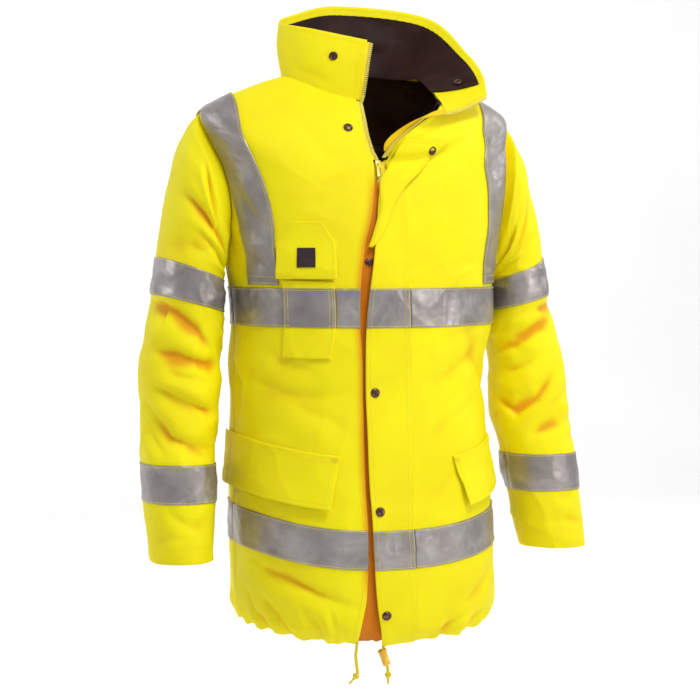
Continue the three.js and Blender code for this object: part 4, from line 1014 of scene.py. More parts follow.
LEFT_SLEEVE_CREASES = [
    ([(40, 108), (53, 130), (60, 150)], 6, 3.2, 0.3),
    ([(70, 40), (84, 70), (96, 100), (92, 130)], 13, 2.8, 0.4),
    ([(120, 70), (132, 100), (126, 135)], 12, 2.4, 0.3),
    ([(236, 137), (227, 103), (230, 50), (232, 8)], 10, 3.6, 0.4),
    ([(285, 158), (275, 126), (255, 87), (243, 43)], 11, 4.8, 0.5),
    ([(312, 150), (304, 120), (290, 92)], 9, 3.0, 0.3),
    ([(351, 162), (366, 130), (350, 96), (313, 66)], 10, 4.8, 0.5),
    ([(340, 40), (350, 62), (362, 84)], 9, 2.6, 0.3),
    ([(396, 114), (384, 81), (378, 24)], 10, 3.8, 0.4),
    ([(408, 60), (402, 36), (396, 12)], 8, 2.0, 0.3),
    ([(482, 90), (480, 74), (479, 59)], 8, 2.0, 0.3),
    ([(515, 40), (506, 75), (512, 110)], 9, 2.0, 0.3),
    ([(74, 230), (112, 256), (140, 290)], 13, 4.2, 0.4),
    ([(244, 300), (256, 262), (264, 220)], 12, 3.6, 0.4),
    ([(352, 215), (330, 255), (306, 296)], 12, 4.5, 0.4),
    ([(338, 230), (362, 268), (372, 312)], 11, 3.8, 0.4),
    ([(394, 215), (388, 252), (398, 290)], 10, 2.8, 0.3),
    ([(500, 215), (492, 260), (502, 300)], 10, 2.4, 0.3),
]


def sleeve_form(side, run, angle):
    run, angle = np.broadcast_arrays(np.asarray(run, float), np.asarray(angle, float))
    r = np.maximum(run, SLEEVE_RINGS[0][0])
    top = np.stack([sleeve_ring(r, c) for c in (1, 2, 3)], -1)
    low = np.stack([sleeve_ring(r, c) for c in (4, 5, 6)], -1)
    if side > 0:
        top[..., 0] += left_lean(-top[..., 2], 1)
        low[..., 0] += left_lean(-low[..., 2], 2)
    sin, cos = np.sin(angle * RAD), np.cos(angle * RAD)
    reach = (np.sign(cos) * np.abs(cos) ** 0.94)[..., None]
    p = (top + low) / 2 + (top - low) / 2 * reach
    p[..., 1] -= sleeve_ring(r, 7) * np.sign(sin) * np.abs(sin) ** 0.94
    p[..., 0] *= side
    return p


def sleeve_relief(side, run, angle):
    """Creases at the armhole, elbow and cuff, and soft swells between them."""
    turn = np.mod(angle, 360)
    table = RIGHT_SLEEVE_CREASES if side < 0 else LEFT_SLEEVE_CREASES
    d = 1.5 * (crease_field(table, run, turn) + crease_field(table, run, turn + 360) * (turn < 40))
    around = np.stack([np.cos(turn * RAD), np.sin(turn * RAD)], -1) * 1.25
    swell = NOISE[1](run / 52 + 4 * side, around[..., 0] + 7) * 0.9 + NOISE[4](run / 46,
                                                                               around[..., 1] + 3) * 0.9
    fine = NOISE[5](run / 21 + side, turn / 19) * 0.35 * np.sin(turn * RAD / 2) ** 2
    # Slack folds that lie slantwise and meet in sharp ridges, fewer on the outer side
    for slant, size in ((0.7, 2.6), (-0.6, 2.0)):
        u = (run + slant * 60 * np.sin(turn * RAD + 0.5)) / 36
        fold = 1 - np.abs(NOISE[2](u + 0.5 * around[..., 1], around[..., 0] + 5 * slant + side))
        fine = fine + size * (fold ** 3 - 0.35) * (0.6 + 0.4 * np.sin(turn * RAD / 2) ** 2)
    d = d * smooth(10, 30, run) + (swell + fine) * smooth(12, 50, run)
    for place in (*UPPER_TAPE, *LOWER_TAPE, CUFF - 22):
        inward = place + (1.5 if place in (UPPER_TAPE[0], LOWER_TAPE[0]) else -1.5)
        d = d + 0.4 * np.exp(-(((run - inward) / 6) ** 2)) * NOISE[2](turn / 6.5, np.full_like(run, place))
    under = np.minimum(np.abs(turn - 172), 40)
    return d - 0.9 * np.exp(-((under / 3.0) ** 2)) * smooth(20, 40, run)


def sleeve(side, run, angle, relief=True):
    run, angle = np.broadcast_arrays(np.asarray(run, float), np.asarray(angle, float))
    p = sleeve_form(side, run, angle)
    along = sleeve_form(side, run + 2, angle) - sleeve_form(side, run - 2, angle)
    along = np.where((run < 20)[..., None], sleeve_form(side, run + 3, angle) - sleeve_form(side, run, angle),
                     along)
    across = sleeve_form(side, run, angle + 1) - sleeve_form(side, run, angle - 1)
    n = np.cross(along, across) * -side
    n /= np.linalg.norm(n, axis=-1, keepdims=True)
    if relief:
        p = p + n * sleeve_relief(side, run, angle)[..., None]
    return p, n


def around_sleeve(side, count):
    """Angles in the order that runs anticlockwise seen from above."""
    turn = np.linspace(0, 360, count, endpoint=False)
    return turn if side < 0 else -turn


def make_sleeve(side, name):
    turn = around_sleeve(side, 104)
    q = (1 - np.cos(turn * RAD)) / 2
    s = mix(SHOULDER, UNDERARM, q)
    t = np.where(np.sin(turn * RAD) >= -1e-9, side_front(s), side_back(s))
    seam, seam_out = trunk(s, side * t)
    first, first_out = sleeve(side, np.full_like(turn, 18.0), turn)
    away = first - seam
    away /= np.linalg.norm(away, axis=-1, keepdims=True)
    start = seam + away * 0.9
    v = np.array([0.0, 0.06, 0.2, 0.4, 0.6, 0.8])[:, None, None]
    start_out = seam_out + (first_out - seam_out) * 0.35
    start_out /= np.linalg.norm(start_out, axis=-1, keepdims=True)
    head_out = mix(start_out, first_out, v)
    head_out /= np.linalg.norm(head_out, axis=-1, keepdims=True)
    ease = NOISE[3](turn[None] / 9, np.full((6, 1), 2.0)) * 0.5 + 1.0
    head = mix(start, first, v) + head_out * (np.sin(math.pi * v[..., 0]) * ease)[..., None]
    rows = np.concatenate([[18.0], even(18, CUFF, CELL)[2:]])
    run, angle = np.meshgrid(rows, turn, indexing="ij")
    body, body_out = sleeve(side, run, angle)
    p, n = np.concatenate([head, body]), np.concatenate([head_out, body_out])
    outer, inner = faces_of(p, n, 0.0, -SHELL, closed=True)
    runs = np.concatenate([v[:, 0, 0] * 18, rows])
    wide = np.linspace(0, 1, len(turn) + 1) * 340
    uv = np.stack(np.meshgrid(wide, -runs), -1)
    # Painted shade: the sleeve's crease depth tints the cloth's colour orange.
    crease_shade_mask = smooth(1.2, 7.0, -np.concatenate([np.zeros(head.shape[:2]), sleeve_relief(side, run, angle)]))
    cloth_piece(f"sleeve_panel_{name}", outer, inner, uv, SHELL_CLOTH, (f"sleeve_{name}",),
                closed=True, crease_shade_mask=crease_shade_mask)
    for place, tape in (("upper", UPPER_TAPE), ("lower", LOWER_TAPE)):
        run, angle = np.meshgrid(even(*tape, 2.4), around_sleeve(side, 140), indexing="ij")
        p, n = sleeve(side, run, angle)
        rough = crumple(run + 31 * side, np.mod(angle, 360) * 1.0) * tape_rim(run, *tape)
        top = 0.3 + TAPE + rough
        outer, inner = faces_of(p, n, top, np.full_like(top, 0.12), closed=True)
        uv = np.stack(np.meshgrid(np.linspace(0, 340, 141), -even(*tape, 2.4)), -1)
        nodes = (f"tape_sleeve_{place}_{name}",)
        cloth_piece(f"sleeve_tape_{place}_{name}", outer, inner, uv, TAPE_CLOTH, nodes,
                    closed=True)
        ring_turn = np.append(around_sleeve(side, 240),
                              around_sleeve(side, 240)[0] + (360 if side < 0 else -360))
        for edge in (tape[0] + 2.2, tape[1] - 2.2):
            p, n = sleeve(side, np.full_like(ring_turn, edge), ring_turn)
            sew(p + n * (0.3 + TAPE + 0.15), n)
    ring_turn = np.append(around_sleeve(side, 240), around_sleeve(side, 240)[0] + (360 if side < 0 else -360))
    p, n = sleeve(side, np.full_like(ring_turn, CUFF - 22.0), ring_turn)
    sew(p + n * 0.15, n)
    head_line = start[np.append(np.arange(len(turn)), 0)]
    head_up = start_out[np.append(np.arange(len(turn)), 0)]
    inset = (away * 3.4)[np.append(np.arange(len(turn)), 0)]
    sew(head_line + inset + head_up * 0.9, head_up)


def crumple(a, b):
    """The irregular wrinkles of creased tape, in mm: sharp little ridges on soft dents."""
    soft = NOISE[0](a / 17 + 11, b / 15 + 5) * 0.45
    ridge = (1 - np.abs(NOISE[2](a / 13 + 3 + 0.4 * NOISE[4](a / 9, b / 9), b / 12 + 8))) ** 5 * 0.55
    fine = NOISE[5](a / 4.5, b / 4.2) * 0.12
    return soft + ridge - 0.25 + fine


def tape_rim(a, low, high):
    """Sewn edges hold the tape flat."""
    return smooth(0, 5, a - low) * smooth(0, 5, high - a)


# Collar

collar_top = through([(-t, *rest) for t, *rest in [
    (-9, -3, -36, 44), (-45, -66, 0, 60), (-90, -96, 58, 73), (-135, -66, 110, 89), (-180, 8, 136, 106),
    (-225, 127, 101, 90), (-270, 163, 30, 34), (-315, 168, -14, 2), (-358, 160, -50, -28),
]])
COLLAR_ENDS = (9, 358)
COLLAR_CREASES = [
    ([(318, 10), (322, 40), (332, 70)], 7, 1.8, 0.3),
    ([(296, 6), (300, 34), (306, 60)], 8, 1.2, 0.3),
    ([(240, 10), (246, 40), (250, 66)], 9, 1.2, 0.3),
    ([(60, 8), (66, 36), (64, 60)], 10, 1.2, 0.3),
    ([(28, 6), (40, 14), (60, 16)], 7, 1.0, 0.3),
    ([(120, 10), (128, 40), (124, 66)], 10, 1.3, 0.3),
    ([(180, 8), (190, 34), (206, 52)], 10, 1.3, 0.3),
]


def collar_form(turn, up):
    turn, up = np.broadcast_arrays(np.asarray(turn, float), np.asarray(up, float))
    base = trunk_form(np.zeros_like(turn), np.where(turn >= 357.5, 0.5, -turn))
    top = np.stack([collar_top(turn, c) for c in (1, 2, 3)], -1)
    return base + (top - base) * up[..., None]


def collar(turn, up, relief=True):
    turn, up = np.broadcast_arrays(np.asarray(turn, float), np.asarray(up, float))
    along = collar_form(np.minimum(turn + 2, 357), up) - collar_form(np.minimum(turn, 355) - 2, up)
    rise = collar_form(turn, 1.0) - collar_form(turn, 0.0)
    n = np.cross(rise, along)
    n /= np.linalg.norm(n, axis=-1, keepdims=True)
    proud = 4 * np.sin(math.pi * np.clip(up, 0, 1))
    if relief:
        proud = proud + crease_field(COLLAR_CREASES, turn, up * 80) * smooth(0.02, 0.2, up)
        proud = proud + NOISE[3](turn / 17, up * 3) * 0.5 * smooth(0, 0.2, up)
    return collar_form(turn, up) + n * proud[..., None], n


def make_collar():
    turn, up = np.meshgrid(even(COLLAR_ENDS[1], COLLAR_ENDS[0], 1.5, 0.5), even(1, -0.012, 0.035, 0.012),
                           indexing="xy")
    p, n = collar(turn, up)
    top = -0.9 * (up > 0.999)
    outer, inner = p + n * top[..., None], p + n * (-DOUBLE - top)[..., None]
    uv = np.stack([-turn * 1.9, up * 82], -1)
    cloth_piece("collar_stand", outer, inner, uv, SHELL_CLOTH, ("collar",))
    # Topstitching round the collar, outside and inside
    for height, sign in ((0.93, 1), (0.945, -1)):
        turns = np.linspace(COLLAR_ENDS[0] + 4, COLLAR_ENDS[1] - 3, 300)
        p, n = collar(turns, np.full_like(turns, height))
        sew(p + n * (0.15 if sign > 0 else -DOUBLE - 0.15), n * sign)
    for turns in (COLLAR_ENDS[0] + 3.5, COLLAR_ENDS[1] - 2.5):
        ups = np.linspace(0.05, 0.93, 40)
        p, n = collar(np.full_like(ups, turns), ups)
        sew(p + n * 0.15, n)
    # Its dark lining, overlocked along the upper edge
    u = np.linspace(0, 1, 260)
    rows = np.concatenate([[0], np.linspace(0.01, 0.985, 34), [1]])
    v, w = np.meshgrid(rows, u, indexing="ij")
    up = 0.86 - v * 0.93
    turn = mix(24, mix(312, 332, up), 1 - w)
    scallop = 0.006 * np.abs(np.sin(w * 260 * 0.9)) * (v < 0.001)
    up = up - scallop
    p, n = collar(turn, up)
    soft = NOISE[4](turn / 11, up * 4) * 1.4 + NOISE[5](turn / 26 + 4, up * 2 + 1) * 1.8
    inward = -DOUBLE - 1.1 - LINING
    deep = inward - np.maximum(0, soft) * smooth(0, 0.12, v) * smooth(0, 0.1, 1 - v)
    outer, inner = p + n * (inward + LINING), p + n * deep[..., None]
    cloth_piece("collar_lining_panel", outer, inner, np.stack([-turn * 1.9, up * 82], -1), LINING_CLOTH,
                ("collar_lining",))


# Body lining, where it shows through the neck

LINING_DEEP = -SHELL - 4.5


def make_linings():
    def rumple(s, t):
        soft = NOISE[0](s / 30, t * ROUND / 34 + 2) * 1.6 + NOISE[3](s / 14 + 2, t * ROUND / 16) * 0.7
        return -np.maximum(0, soft + 0.6) * smooth(14, 30, s)

    def yoke(s, t):
        return rumple(s, t) + 3.2 * (1 - smooth(6, 20, s))

    trunk_piece("yoke_lining_panel", even(1, 118, 4), lambda s: 24 + 0 * s, lambda s: 341 + 0 * s, LINING_DEEP,
                LINING_DEEP - LINING, LINING_CLOTH, ("lining_yoke",), yoke, cell=5)
    trunk_piece("back_lining_panel", even(118.7, 325, 5), lambda s: side_back(s) + 3,
                lambda s: 357 - side_back(s), LINING_DEEP,
                LINING_DEEP - LINING, LINING_CLOTH, ("lining_back",), rumple, cell=5)


# Zip: its guards, tapes and teeth

GUARD_DEEP = -SHELL - 1
UNDER_GUARD = GUARD_DEEP - 2.1
TAPE_SHOWS = 5
TOOTH_PITCH = 2.9
guard_out = through([(0, 9), (14, 13), (40, 23), (70, 22), (SLIDER - 4, 9)])


def beside_open_edge(s, out, relief=True):
    s, out = np.broadcast_arrays(np.asarray(s, float), np.asarray(out, float))
    edge, n = trunk(s, np.full_like(s, 0.6), relief)
    inward = trunk_form(s, np.full_like(s, 8.0)) - trunk_form(s, np.full_like(s, 0.6))
    inward /= np.linalg.norm(inward, axis=-1, keepdims=True)
    return edge - inward * out[..., None], n


def beside_collar(turn, inner_turn, up, out):
    up, out = np.broadcast_arrays(np.asarray(up, float), np.asarray(out, float))
    p, n = collar(np.full_like(up, turn), up, relief=False)
    q, _ = collar(np.full_like(up, inner_turn), up, relief=False)
    away = p - q
    away /= np.linalg.norm(away, axis=-1, keepdims=True)
    return p + away * out[..., None], n


def strip_piece(name, place, rows, across, top, low, finish, nodes):
    """A narrow piece whose place is worked out from a row and a distance across."""
    v, w = np.meshgrid(rows, across, indexing="ij")
    p, n = place(v, w)
    outer, inner = faces_of(p, n, np.full(p.shape[:2], float(top)), low)
    gone = np.concatenate([[0], np.cumsum(np.linalg.norm(np.diff(p[:, 0], axis=0), axis=-1))])
    uv = np.stack([w, -np.broadcast_to(gone[:, None], w.shape)], -1)
    return cloth_piece(name, outer, inner, uv, finish, nodes)


def teeth_row(name, p, n, out):
    """Moulded teeth along a zip tape's edge, one every 2.9 mm, standing out from it."""
    run = np.concatenate([[0], np.cumsum(np.linalg.norm(np.diff(p, axis=0), axis=-1))])
    at = np.arange(1.3, run[-1], TOOTH_PITCH)

    def along(values):
        return np.stack([np.interp(at, run, values[:, k]) for k in range(3)], -1)

    ahead = along(np.gradient(p, axis=0))
    ahead /= np.linalg.norm(ahead, axis=1, keepdims=True)
    up, outward = along(n), along(out)
    up -= ahead * (up * ahead).sum(1, keepdims=True)
    up /= np.linalg.norm(up, axis=1, keepdims=True)
    return copies(name, TOOTH, along(p), outward / np.linalg.norm(outward, axis=1, keepdims=True), ahead, up,
                  TEETH, "zip_tape")


def model_of(obj):
    """Points in mm and faces of a modelled piece, which is then removed."""
    bpy.ops.object.mode_set(mode="OBJECT")
    points = np.array([v.co[:] for v in obj.data.vertices]) / MM
    faces = [tuple(f.vertices) for f in obj.data.polygons]
    bpy.data.objects.remove(obj)
    return points, faces


def copies(name, model, at, x_axes, y_axes, z_axes, finish, slot):
    """Copies of a small model at many places, as one piece."""
    points, faces = model
    frames = np.stack([x_axes, y_axes, z_axes], 1)
    verts = (np.einsum("pk,nkj->npj", points, frames) + at[:, None]).reshape(-1, 3)
    flip = np.linalg.det(frames[0]) < 0
    every = []
    for i in range(len(at)):
        for f in faces:
            g = [v + i * len(points) for v in f]
            every.append(g[::-1] if flip else g)
    mesh = bpy.data.meshes.new(name)
    mesh.from_pydata((verts * MM).tolist(), [], every)
    mesh.materials.append(finish)
    mesh.polygons.foreach_set("use_smooth", [True] * len(every))
    mesh.update()
    return settle(bpy.data.objects.new(name, mesh))


def model_tooth():
    """One zip tooth: a block on the tape's edge with a narrower head standing out from it."""
    obj = begin("cube", size=1)
    bpy.ops.transform.resize(value=(2.4 * MM, 1.9 * MM, 2.6 * MM))
    bpy.ops.object.transform_apply(location=False, rotation=False, scale=True)
    pick(obj, lambda c, n: n.x > 0.9)
    bpy.ops.mesh.extrude_region_move(TRANSFORM_OT_translate={"value": (1.2 * MM, 0, 0)})
    bpy.ops.transform.resize(value=(1, 0.66, 0.66))
    bpy.ops.mesh.extrude_region_move(TRANSFORM_OT_translate={"value": (0.9 * MM, 0, 0)})
    bpy.ops.transform.resize(value=(1, 1.25, 1.1))
    return model_of(obj)


def model_stitch():
    """One stitch: a short bar of thread, thicker in its middle."""
    obj = begin("uv_sphere", segments=6, ring_count=4, radius=1)
    bpy.ops.transform.rotate(value=math.pi / 2, orient_axis="Y", center_override=(0, 0, 0))
    bpy.ops.object.transform_apply(location=False, rotation=True, scale=False)
    bpy.ops.transform.resize(value=(1.3 * MM, 0.36 * MM, 0.3 * MM))
    bpy.ops.object.transform_apply(location=False, rotation=False, scale=True)
    return model_of(obj)


def make_zip():
    def by_x(left, right):
        return lambda s, w: trunk(s, angle_at(s, mix(left(s), right(s), w)))

    def on_guard(s, w):
        # It reaches the hem, where its channel is gathered into small puckers
        pucker = smooth(755, HEM, s) * (2.6 * np.abs(np.sin(9 * w)) + 1.2 + 1.2 * np.sin(23 * w))
        return by_x(lambda s: right_edge(s) - 6, lambda s: ZIP_X - 1 + 0 * s)(s - pucker, w)

    across = np.array([0, 0.1, 0.5, 0.9, 1.0])
    rows = even(138, HEM, 4)
    # The guard is drawn in the orange copy of the cloth, with its shade painted in.
    strip_piece("zip_guard_panel", on_guard, rows, even(0, 1, 0.04, 0.03),
                GUARD_DEEP, GUARD_DEEP - 1.2, GUARD_CLOTH_PAINTED_SHADE, ("zip_guard",))
    rows = even(SLIDER + 4, ZIP_END, 5)
    strip_piece("zip_tape_closed_right", by_x(lambda s: ZIP_X - 13 + 0 * s, lambda s: ZIP_X - 0.8 + 0 * s),
                rows, across,
                UNDER_GUARD, UNDER_GUARD - 0.9, ZIP_CLOTH, ("zip_tape_right",))
    strip_piece("zip_tape_closed_left", by_x(lambda s: ZIP_X + 0.8 + 0 * s, lambda s: ZIP_X + 16 + 0 * s),
                rows, across,
                UNDER_GUARD, UNDER_GUARD - 0.9, ZIP_CLOTH, ("zip_tape_left",))
    rows = even(0, SLIDER, 3)
    strip_piece("zip_tape_front_right", by_x(lambda s: right_edge(s) - 4,
                                             lambda s: right_edge(s) + TAPE_SHOWS), rows, across,
                -SHELL - 1.2, -SHELL - 2.1, ZIP_CLOTH, ("zip_tape_open_right",))
    strip_piece("zip_tape_front_left", beside_open_edge, rows, mix(TAPE_SHOWS, -4, across), -SHELL - 1.5,
                -SHELL - 2.4,
                ZIP_CLOTH, ("zip_tape_open_left",))
    # The turned-out guard is drawn in the deeper yellow copy of the cloth, with its shade painted in.
    strip_piece("zip_guard_turned_out", lambda s, w: beside_open_edge(s, mix(guard_out(s), -9, w)),
                even(1, SLIDER - 6, 3),
                even(0, 1, 0.1, 0.04), -SHELL - 3.4, -SHELL - 4.6, FACING_PAINTED_SHADE, ("zip_guard_open",))
    ups = even(0.97, -0.02, 0.06, 0.02)
    strip_piece("zip_tape_stand_right", lambda v, w: beside_collar(9, 18, v, w), ups,
                mix(-4, TAPE_SHOWS, across),
                -DOUBLE - 0.6, -DOUBLE - 1.4, ZIP_CLOTH, ("zip_tape_collar_right",))
    strip_piece("zip_tape_stand_left", lambda v, w: beside_collar(358, 350, v, w), ups,
                mix(TAPE_SHOWS, -4, across),
                -DOUBLE - 0.6, -DOUBLE - 1.4, ZIP_CLOTH, ("zip_tape_collar_left",))
    # Teeth up the wearer's right, from the slider to the top of the collar
    s = np.linspace(SLIDER + 3, 5, 60)
    p, n = trunk(s, angle_at(s, right_edge(s) + TAPE_SHOWS))
    p = p + n * (-SHELL - 1.6)
    inner_p, _ = trunk(s, angle_at(s, right_edge(s)))
    out = p - inner_p - n * ((p - inner_p) * n).sum(-1, keepdims=True)
    ups = np.linspace(0.06, 0.97, 40)
    cp, cn = beside_collar(9, 18, ups, np.full_like(ups, TAPE_SHOWS))
    cq, _ = beside_collar(9, 18, ups, np.full_like(ups, 0.0))
    teeth_row("zip_teeth_right", np.concatenate([p, cp + cn * (-DOUBLE - 1)]), np.concatenate([n, cn]),
              np.concatenate([out, cp - cq]))
    s = np.linspace(SLIDER + 1, 5, 60)
    p, n = beside_open_edge(s, np.full_like(s, TAPE_SHOWS))
    q, _ = beside_open_edge(s, np.zeros_like(s))
    cp, cn = beside_collar(358, 350, ups, np.full_like(ups, TAPE_SHOWS))
    cq, _ = beside_collar(358, 350, ups, np.full_like(ups, 0.0))
    teeth_row("zip_teeth_left", np.concatenate([p + n * (-SHELL - 1.9), cp + cn * (-DOUBLE - 1)]),
              np.concatenate([n, cn]),
              np.concatenate([p - q, cp - cq]))
    s = np.linspace(SLIDER + 12, ZIP_END, 240)
    for name, side in (("right", 1), ("left", -1)):
        x = np.full_like(s, ZIP_X - 2.2 * side)
        p, n = trunk(s + 0.65 * side, angle_at(s, x))
        q, _ = trunk(s + 0.65 * side, angle_at(s, x + side))
        teeth_row(f"zip_teeth_closed_{name}", p + n * (UNDER_GUARD + 0.8), n, q - p)


def make_slider():
    place, up = trunk(np.array(SLIDER + 8.0), angle_at(np.array(SLIDER + 8.0), ZIP_X), relief=False)
    slider = begin("cube", size=1)
    bpy.ops.transform.resize(value=(8 * MM, 11 * MM, 2.6 * MM))
    bpy.ops.object.transform_apply(location=False, rotation=False, scale=True)
    pick(slider, lambda c, n: n.y < -0.9)
    bpy.ops.transform.resize(value=(0.72, 1, 1))
    pick(slider, lambda c, n: abs(n.z) < 0.5)
    bpy.ops.mesh.select_mode(type="EDGE")
    bpy.ops.mesh.select_all(action="SELECT")
    bpy.ops.mesh.bevel(offset=0.7 * MM, segments=3)
    finish_piece(slider, "zip_slider_body", ENAMEL, ("zip_slider",), place + up * -1.4, up)
    bridge = begin("torus", major_radius=2.4 * MM, minor_radius=0.55 * MM, major_segments=28, minor_segments=10,
                   location=(0, 0, 0), rotation=(0, math.pi / 2, 0))
    bpy.ops.object.transform_apply(location=False, rotation=True, scale=False)
    bpy.ops.object.mode_set(mode="EDIT")
    finish_piece(bridge, "zip_slider_bridge", ENAMEL, (), place + up * -0.1, up)
    # The pull: a tapered plate with a sunk face, that hangs from the bridge by an eye
    low, high = node_box("zip_pull")
    hang = np.array([(low[0] + high[0]) / 2, 0, 0]) + (0, place[1] + up[1] * 1.4, place[2] + up[2] * 1.4)
    plate = begin("cube", size=1)
    bpy.ops.transform.resize(value=(4.8 * MM, 15 * MM, 1.1 * MM))
    bpy.ops.transform.translate(value=(0, -11.2 * MM, 0))
    bpy.ops.object.transform_apply(location=True, rotation=False, scale=True)
    pick(plate, lambda c, n: n.y > 0.9)
    bpy.ops.transform.resize(value=(0.6, 1, 1))
    pick(plate, lambda c, n: n.z > 0.9)
    bpy.ops.mesh.inset(thickness=0.8 * MM, depth=0)
    bpy.ops.transform.translate(value=(0, 0, -0.25 * MM))
    pick(plate, lambda c, d: abs(d.z) > 0.9, kind="EDGE")
    bpy.ops.mesh.bevel(offset=1.1 * MM, segments=4)
    finish_piece(plate, "zip_pull_plate", ENAMEL, ("zip_pull",), hang, up, body="zip_pull")
    eye = begin("torus", major_radius=2.0 * MM, minor_radius=0.5 * MM, major_segments=24, minor_segments=10,
                location=(0, -2.2 * MM, 0))
    bpy.ops.object.transform_apply(location=True, rotation=False, scale=False)
    bpy.ops.object.mode_set(mode="EDIT")
    finish_piece(eye, "zip_pull_eye", ENAMEL, (), hang, up, body="zip_pull")



# Storm flap

flap_seam = through([
    (120, 21), (155, 22), (206, 20), (275, 19.5), (353, 22), (431, 25), (525, 23), (600, 22), (677, 27),
    (738, 31),
])
flap_free = through([
    (247, -27), (295, -34), (346, -38), (397, -38.5), (460, -37.5), (523, -37), (573, -34),
    (636, -31), (688, -26), (738, -15),
])
fold_line = through([(132, -2), (142, -8), (161, -14), (181, -17.5), (205, -21), (247, -27)])
FLAP_LIFT = (0.6, 2.6)
CHEST_TAPE_Z = (-281, -331)
HEM_TAPE_Z = (-589, -639)


def on_flap(z, u, relief=True):
    z, u = np.broadcast_arrays(np.asarray(z, float), np.asarray(u, float))
    free = np.where(z > -247, fold_line(-z), flap_free(-z))
    s, t = place_at(mix(free, flap_seam(-z), u), z)
    p, n = trunk(s, t, relief)
    ripple = NOISE[3](z / 44, u * 0 + 3) * 0.9 * (1 - u) if relief else 0 * u
    return p + n * (mix(FLAP_LIFT[1], FLAP_LIFT[0], u) + ripple)[..., None], n


TURNED = through([(i, *row) for i, row in enumerate([
    (270, -9.6, 271, -9.0), (232, -7, 237, -4), (197, -4.7, 188, 0.2), (166, -3.4, 156, 5.5),
    (140, -2, 132, 12), (114, 1.4, 112, 18.5), (92, 1.6, 103, 24.5), (74, 1.6, 94, 30),
])])


def turned_back(i, u, relief=True):
    """The part of the flap folded back on itself, from the fold at u = 0 to the free edge at u = 1."""
    i, u = np.broadcast_arrays(np.asarray(i, float), np.asarray(u, float))
    p, n = trunk(mix(TURNED(i, 1), TURNED(i, 3), u), mix(TURNED(i, 2), TURNED(i, 4), u), relief)
    over = mix(FLAP_LIFT[1] + DOUBLE + 1.2, 2.6, smooth(4, 5, i))
    swell = 0.7 * NOISE[1](i * 1.1, u * 2.3) * smooth(0.1, 0.5, u) if relief else 0 * u
    return p + n * (over - 1.4 * smooth(0.4, 1, u) + np.abs(swell))[..., None], n


def make_flap():
    foot = float(ring(HEM - 1.5, 2))
    z, u = np.meshgrid(even(-136, foot, CELL), even(0, 1, 0.06, 0.018), indexing="ij")
    p, n = on_flap(z, u)
    outer, inner = faces_of(p, n, np.full(z.shape, DOUBLE), 0.0)
    cloth_piece("storm_flap_front", outer, inner, np.stack([u * 62, z], -1), SHELL_CLOTH,
                ("storm_flap",))
    for name, (top, low) in (("chest", CHEST_TAPE_Z), ("hem", HEM_TAPE_Z)):
        z, u = np.meshgrid(even(top, low, 2.2), even(0, 1, 0.035, 0.014), indexing="ij")
        p, n = on_flap(z, u)
        rough = crumple(z + 400, u * 60) * tape_rim(-z, -top, -low) * smooth(0, 0.08, u) * smooth(0, 0.06,
                                                                                                  1 - u)
        outer, inner = faces_of(p, n, DOUBLE + 0.3 + TAPE + rough * 0.7, DOUBLE + 0.1)
        uv = np.stack([u * 62, z], -1)
        cloth_piece(f"flap_tape_{name}", outer, inner, uv, TAPE_CLOTH,
                    (f"tape_{name}_flap",))
        for z_line in (top - 2, low + 2):
            us = np.linspace(0.02, 0.98, 40)
            p, n = on_flap(np.full_like(us, z_line), us)
            sew(p + n * (DOUBLE + 0.3 + TAPE + 0.15), n)
    # Topstitching beside the seam and along the free edge
    for u, first, last in ((0.87, -150, foot + 2), (0.97, -150, foot + 2), (0.1, -252, foot + 2)):
        zs = np.linspace(first, last, 260)
        p, n = on_flap(zs, np.full_like(zs, u))
        keep = ~(((zs < CHEST_TAPE_Z[0]) & (zs > CHEST_TAPE_Z[1])) | ((zs < HEM_TAPE_Z[0]) & (zs > HEM_TAPE_Z[1])))
        sew(p + n * np.where(keep, DOUBLE + 0.15, DOUBLE + 1.45)[:, None], n)
    i, u = np.meshgrid(even(7, 0, 0.08, 0.02), even(0, 1, 0.05, 0.02), indexing="ij")
    p, n = turned_back(i, u)
    outer, inner = faces_of(p, n, np.full(i.shape, DOUBLE), 0.0)
    rows = i[:, :1]
    edge, up = turned_back(rows, np.zeros_like(rows))
    further, _ = turned_back(rows, np.full_like(rows, 0.08))
    away = edge - further
    away /= np.linalg.norm(away, axis=-1, keepdims=True)
    radius = mix(2.8, 1.1, smooth(4, 5, rows))[..., None]
    middle = edge + up * (DOUBLE - radius)
    for k, turn in enumerate(np.linspace(0, math.pi, 9)[1:]):
        arc = up * math.cos(turn) + away * math.sin(turn)
        outer = np.concatenate([middle + arc * radius, outer], 1)
        inner = np.concatenate([middle + arc * np.maximum(0.15, radius - DOUBLE), inner], 1)
    s_rows = TURNED(i[:, 0], 1)
    across = np.concatenate([[-1.1 * k for k in range(8, 0, -1)], u[0] * 60])
    uv = np.stack(np.meshgrid(across, -s_rows), -1)
    cloth_piece("storm_flap_turned", outer, inner, uv, SHELL_CLOTH, ("storm_flap_turned_back",))
    for u_line in (0.955, 0.9):
        i_line = np.linspace(0.2, 6.9, 140)
        p, n = turned_back(i_line, np.full_like(i_line, u_line))
        sew(p + n * (DOUBLE + 0.15), n)
    u_line = np.linspace(0.06, 0.95, 40)
    p, n = turned_back(np.full_like(u_line, 6.85), u_line)
    sew(p + n * (DOUBLE + 0.15), n)
    # The reinforcing patch's stitched outline round the stud
    corners = [(6.75, 0.36), (6.75, 0.93), (5.4, 0.93), (5.4, 0.36), (6.75, 0.36)]
    line = np.concatenate([np.linspace(a, b, 24) for a, b in zip(corners, corners[1:])])
    p, n = turned_back(line[:, 0], line[:, 1])
    sew(p + n * (DOUBLE + 0.15), n)


# Reflective tape

POCKET_ANGLES = (-24.2, -48.2)


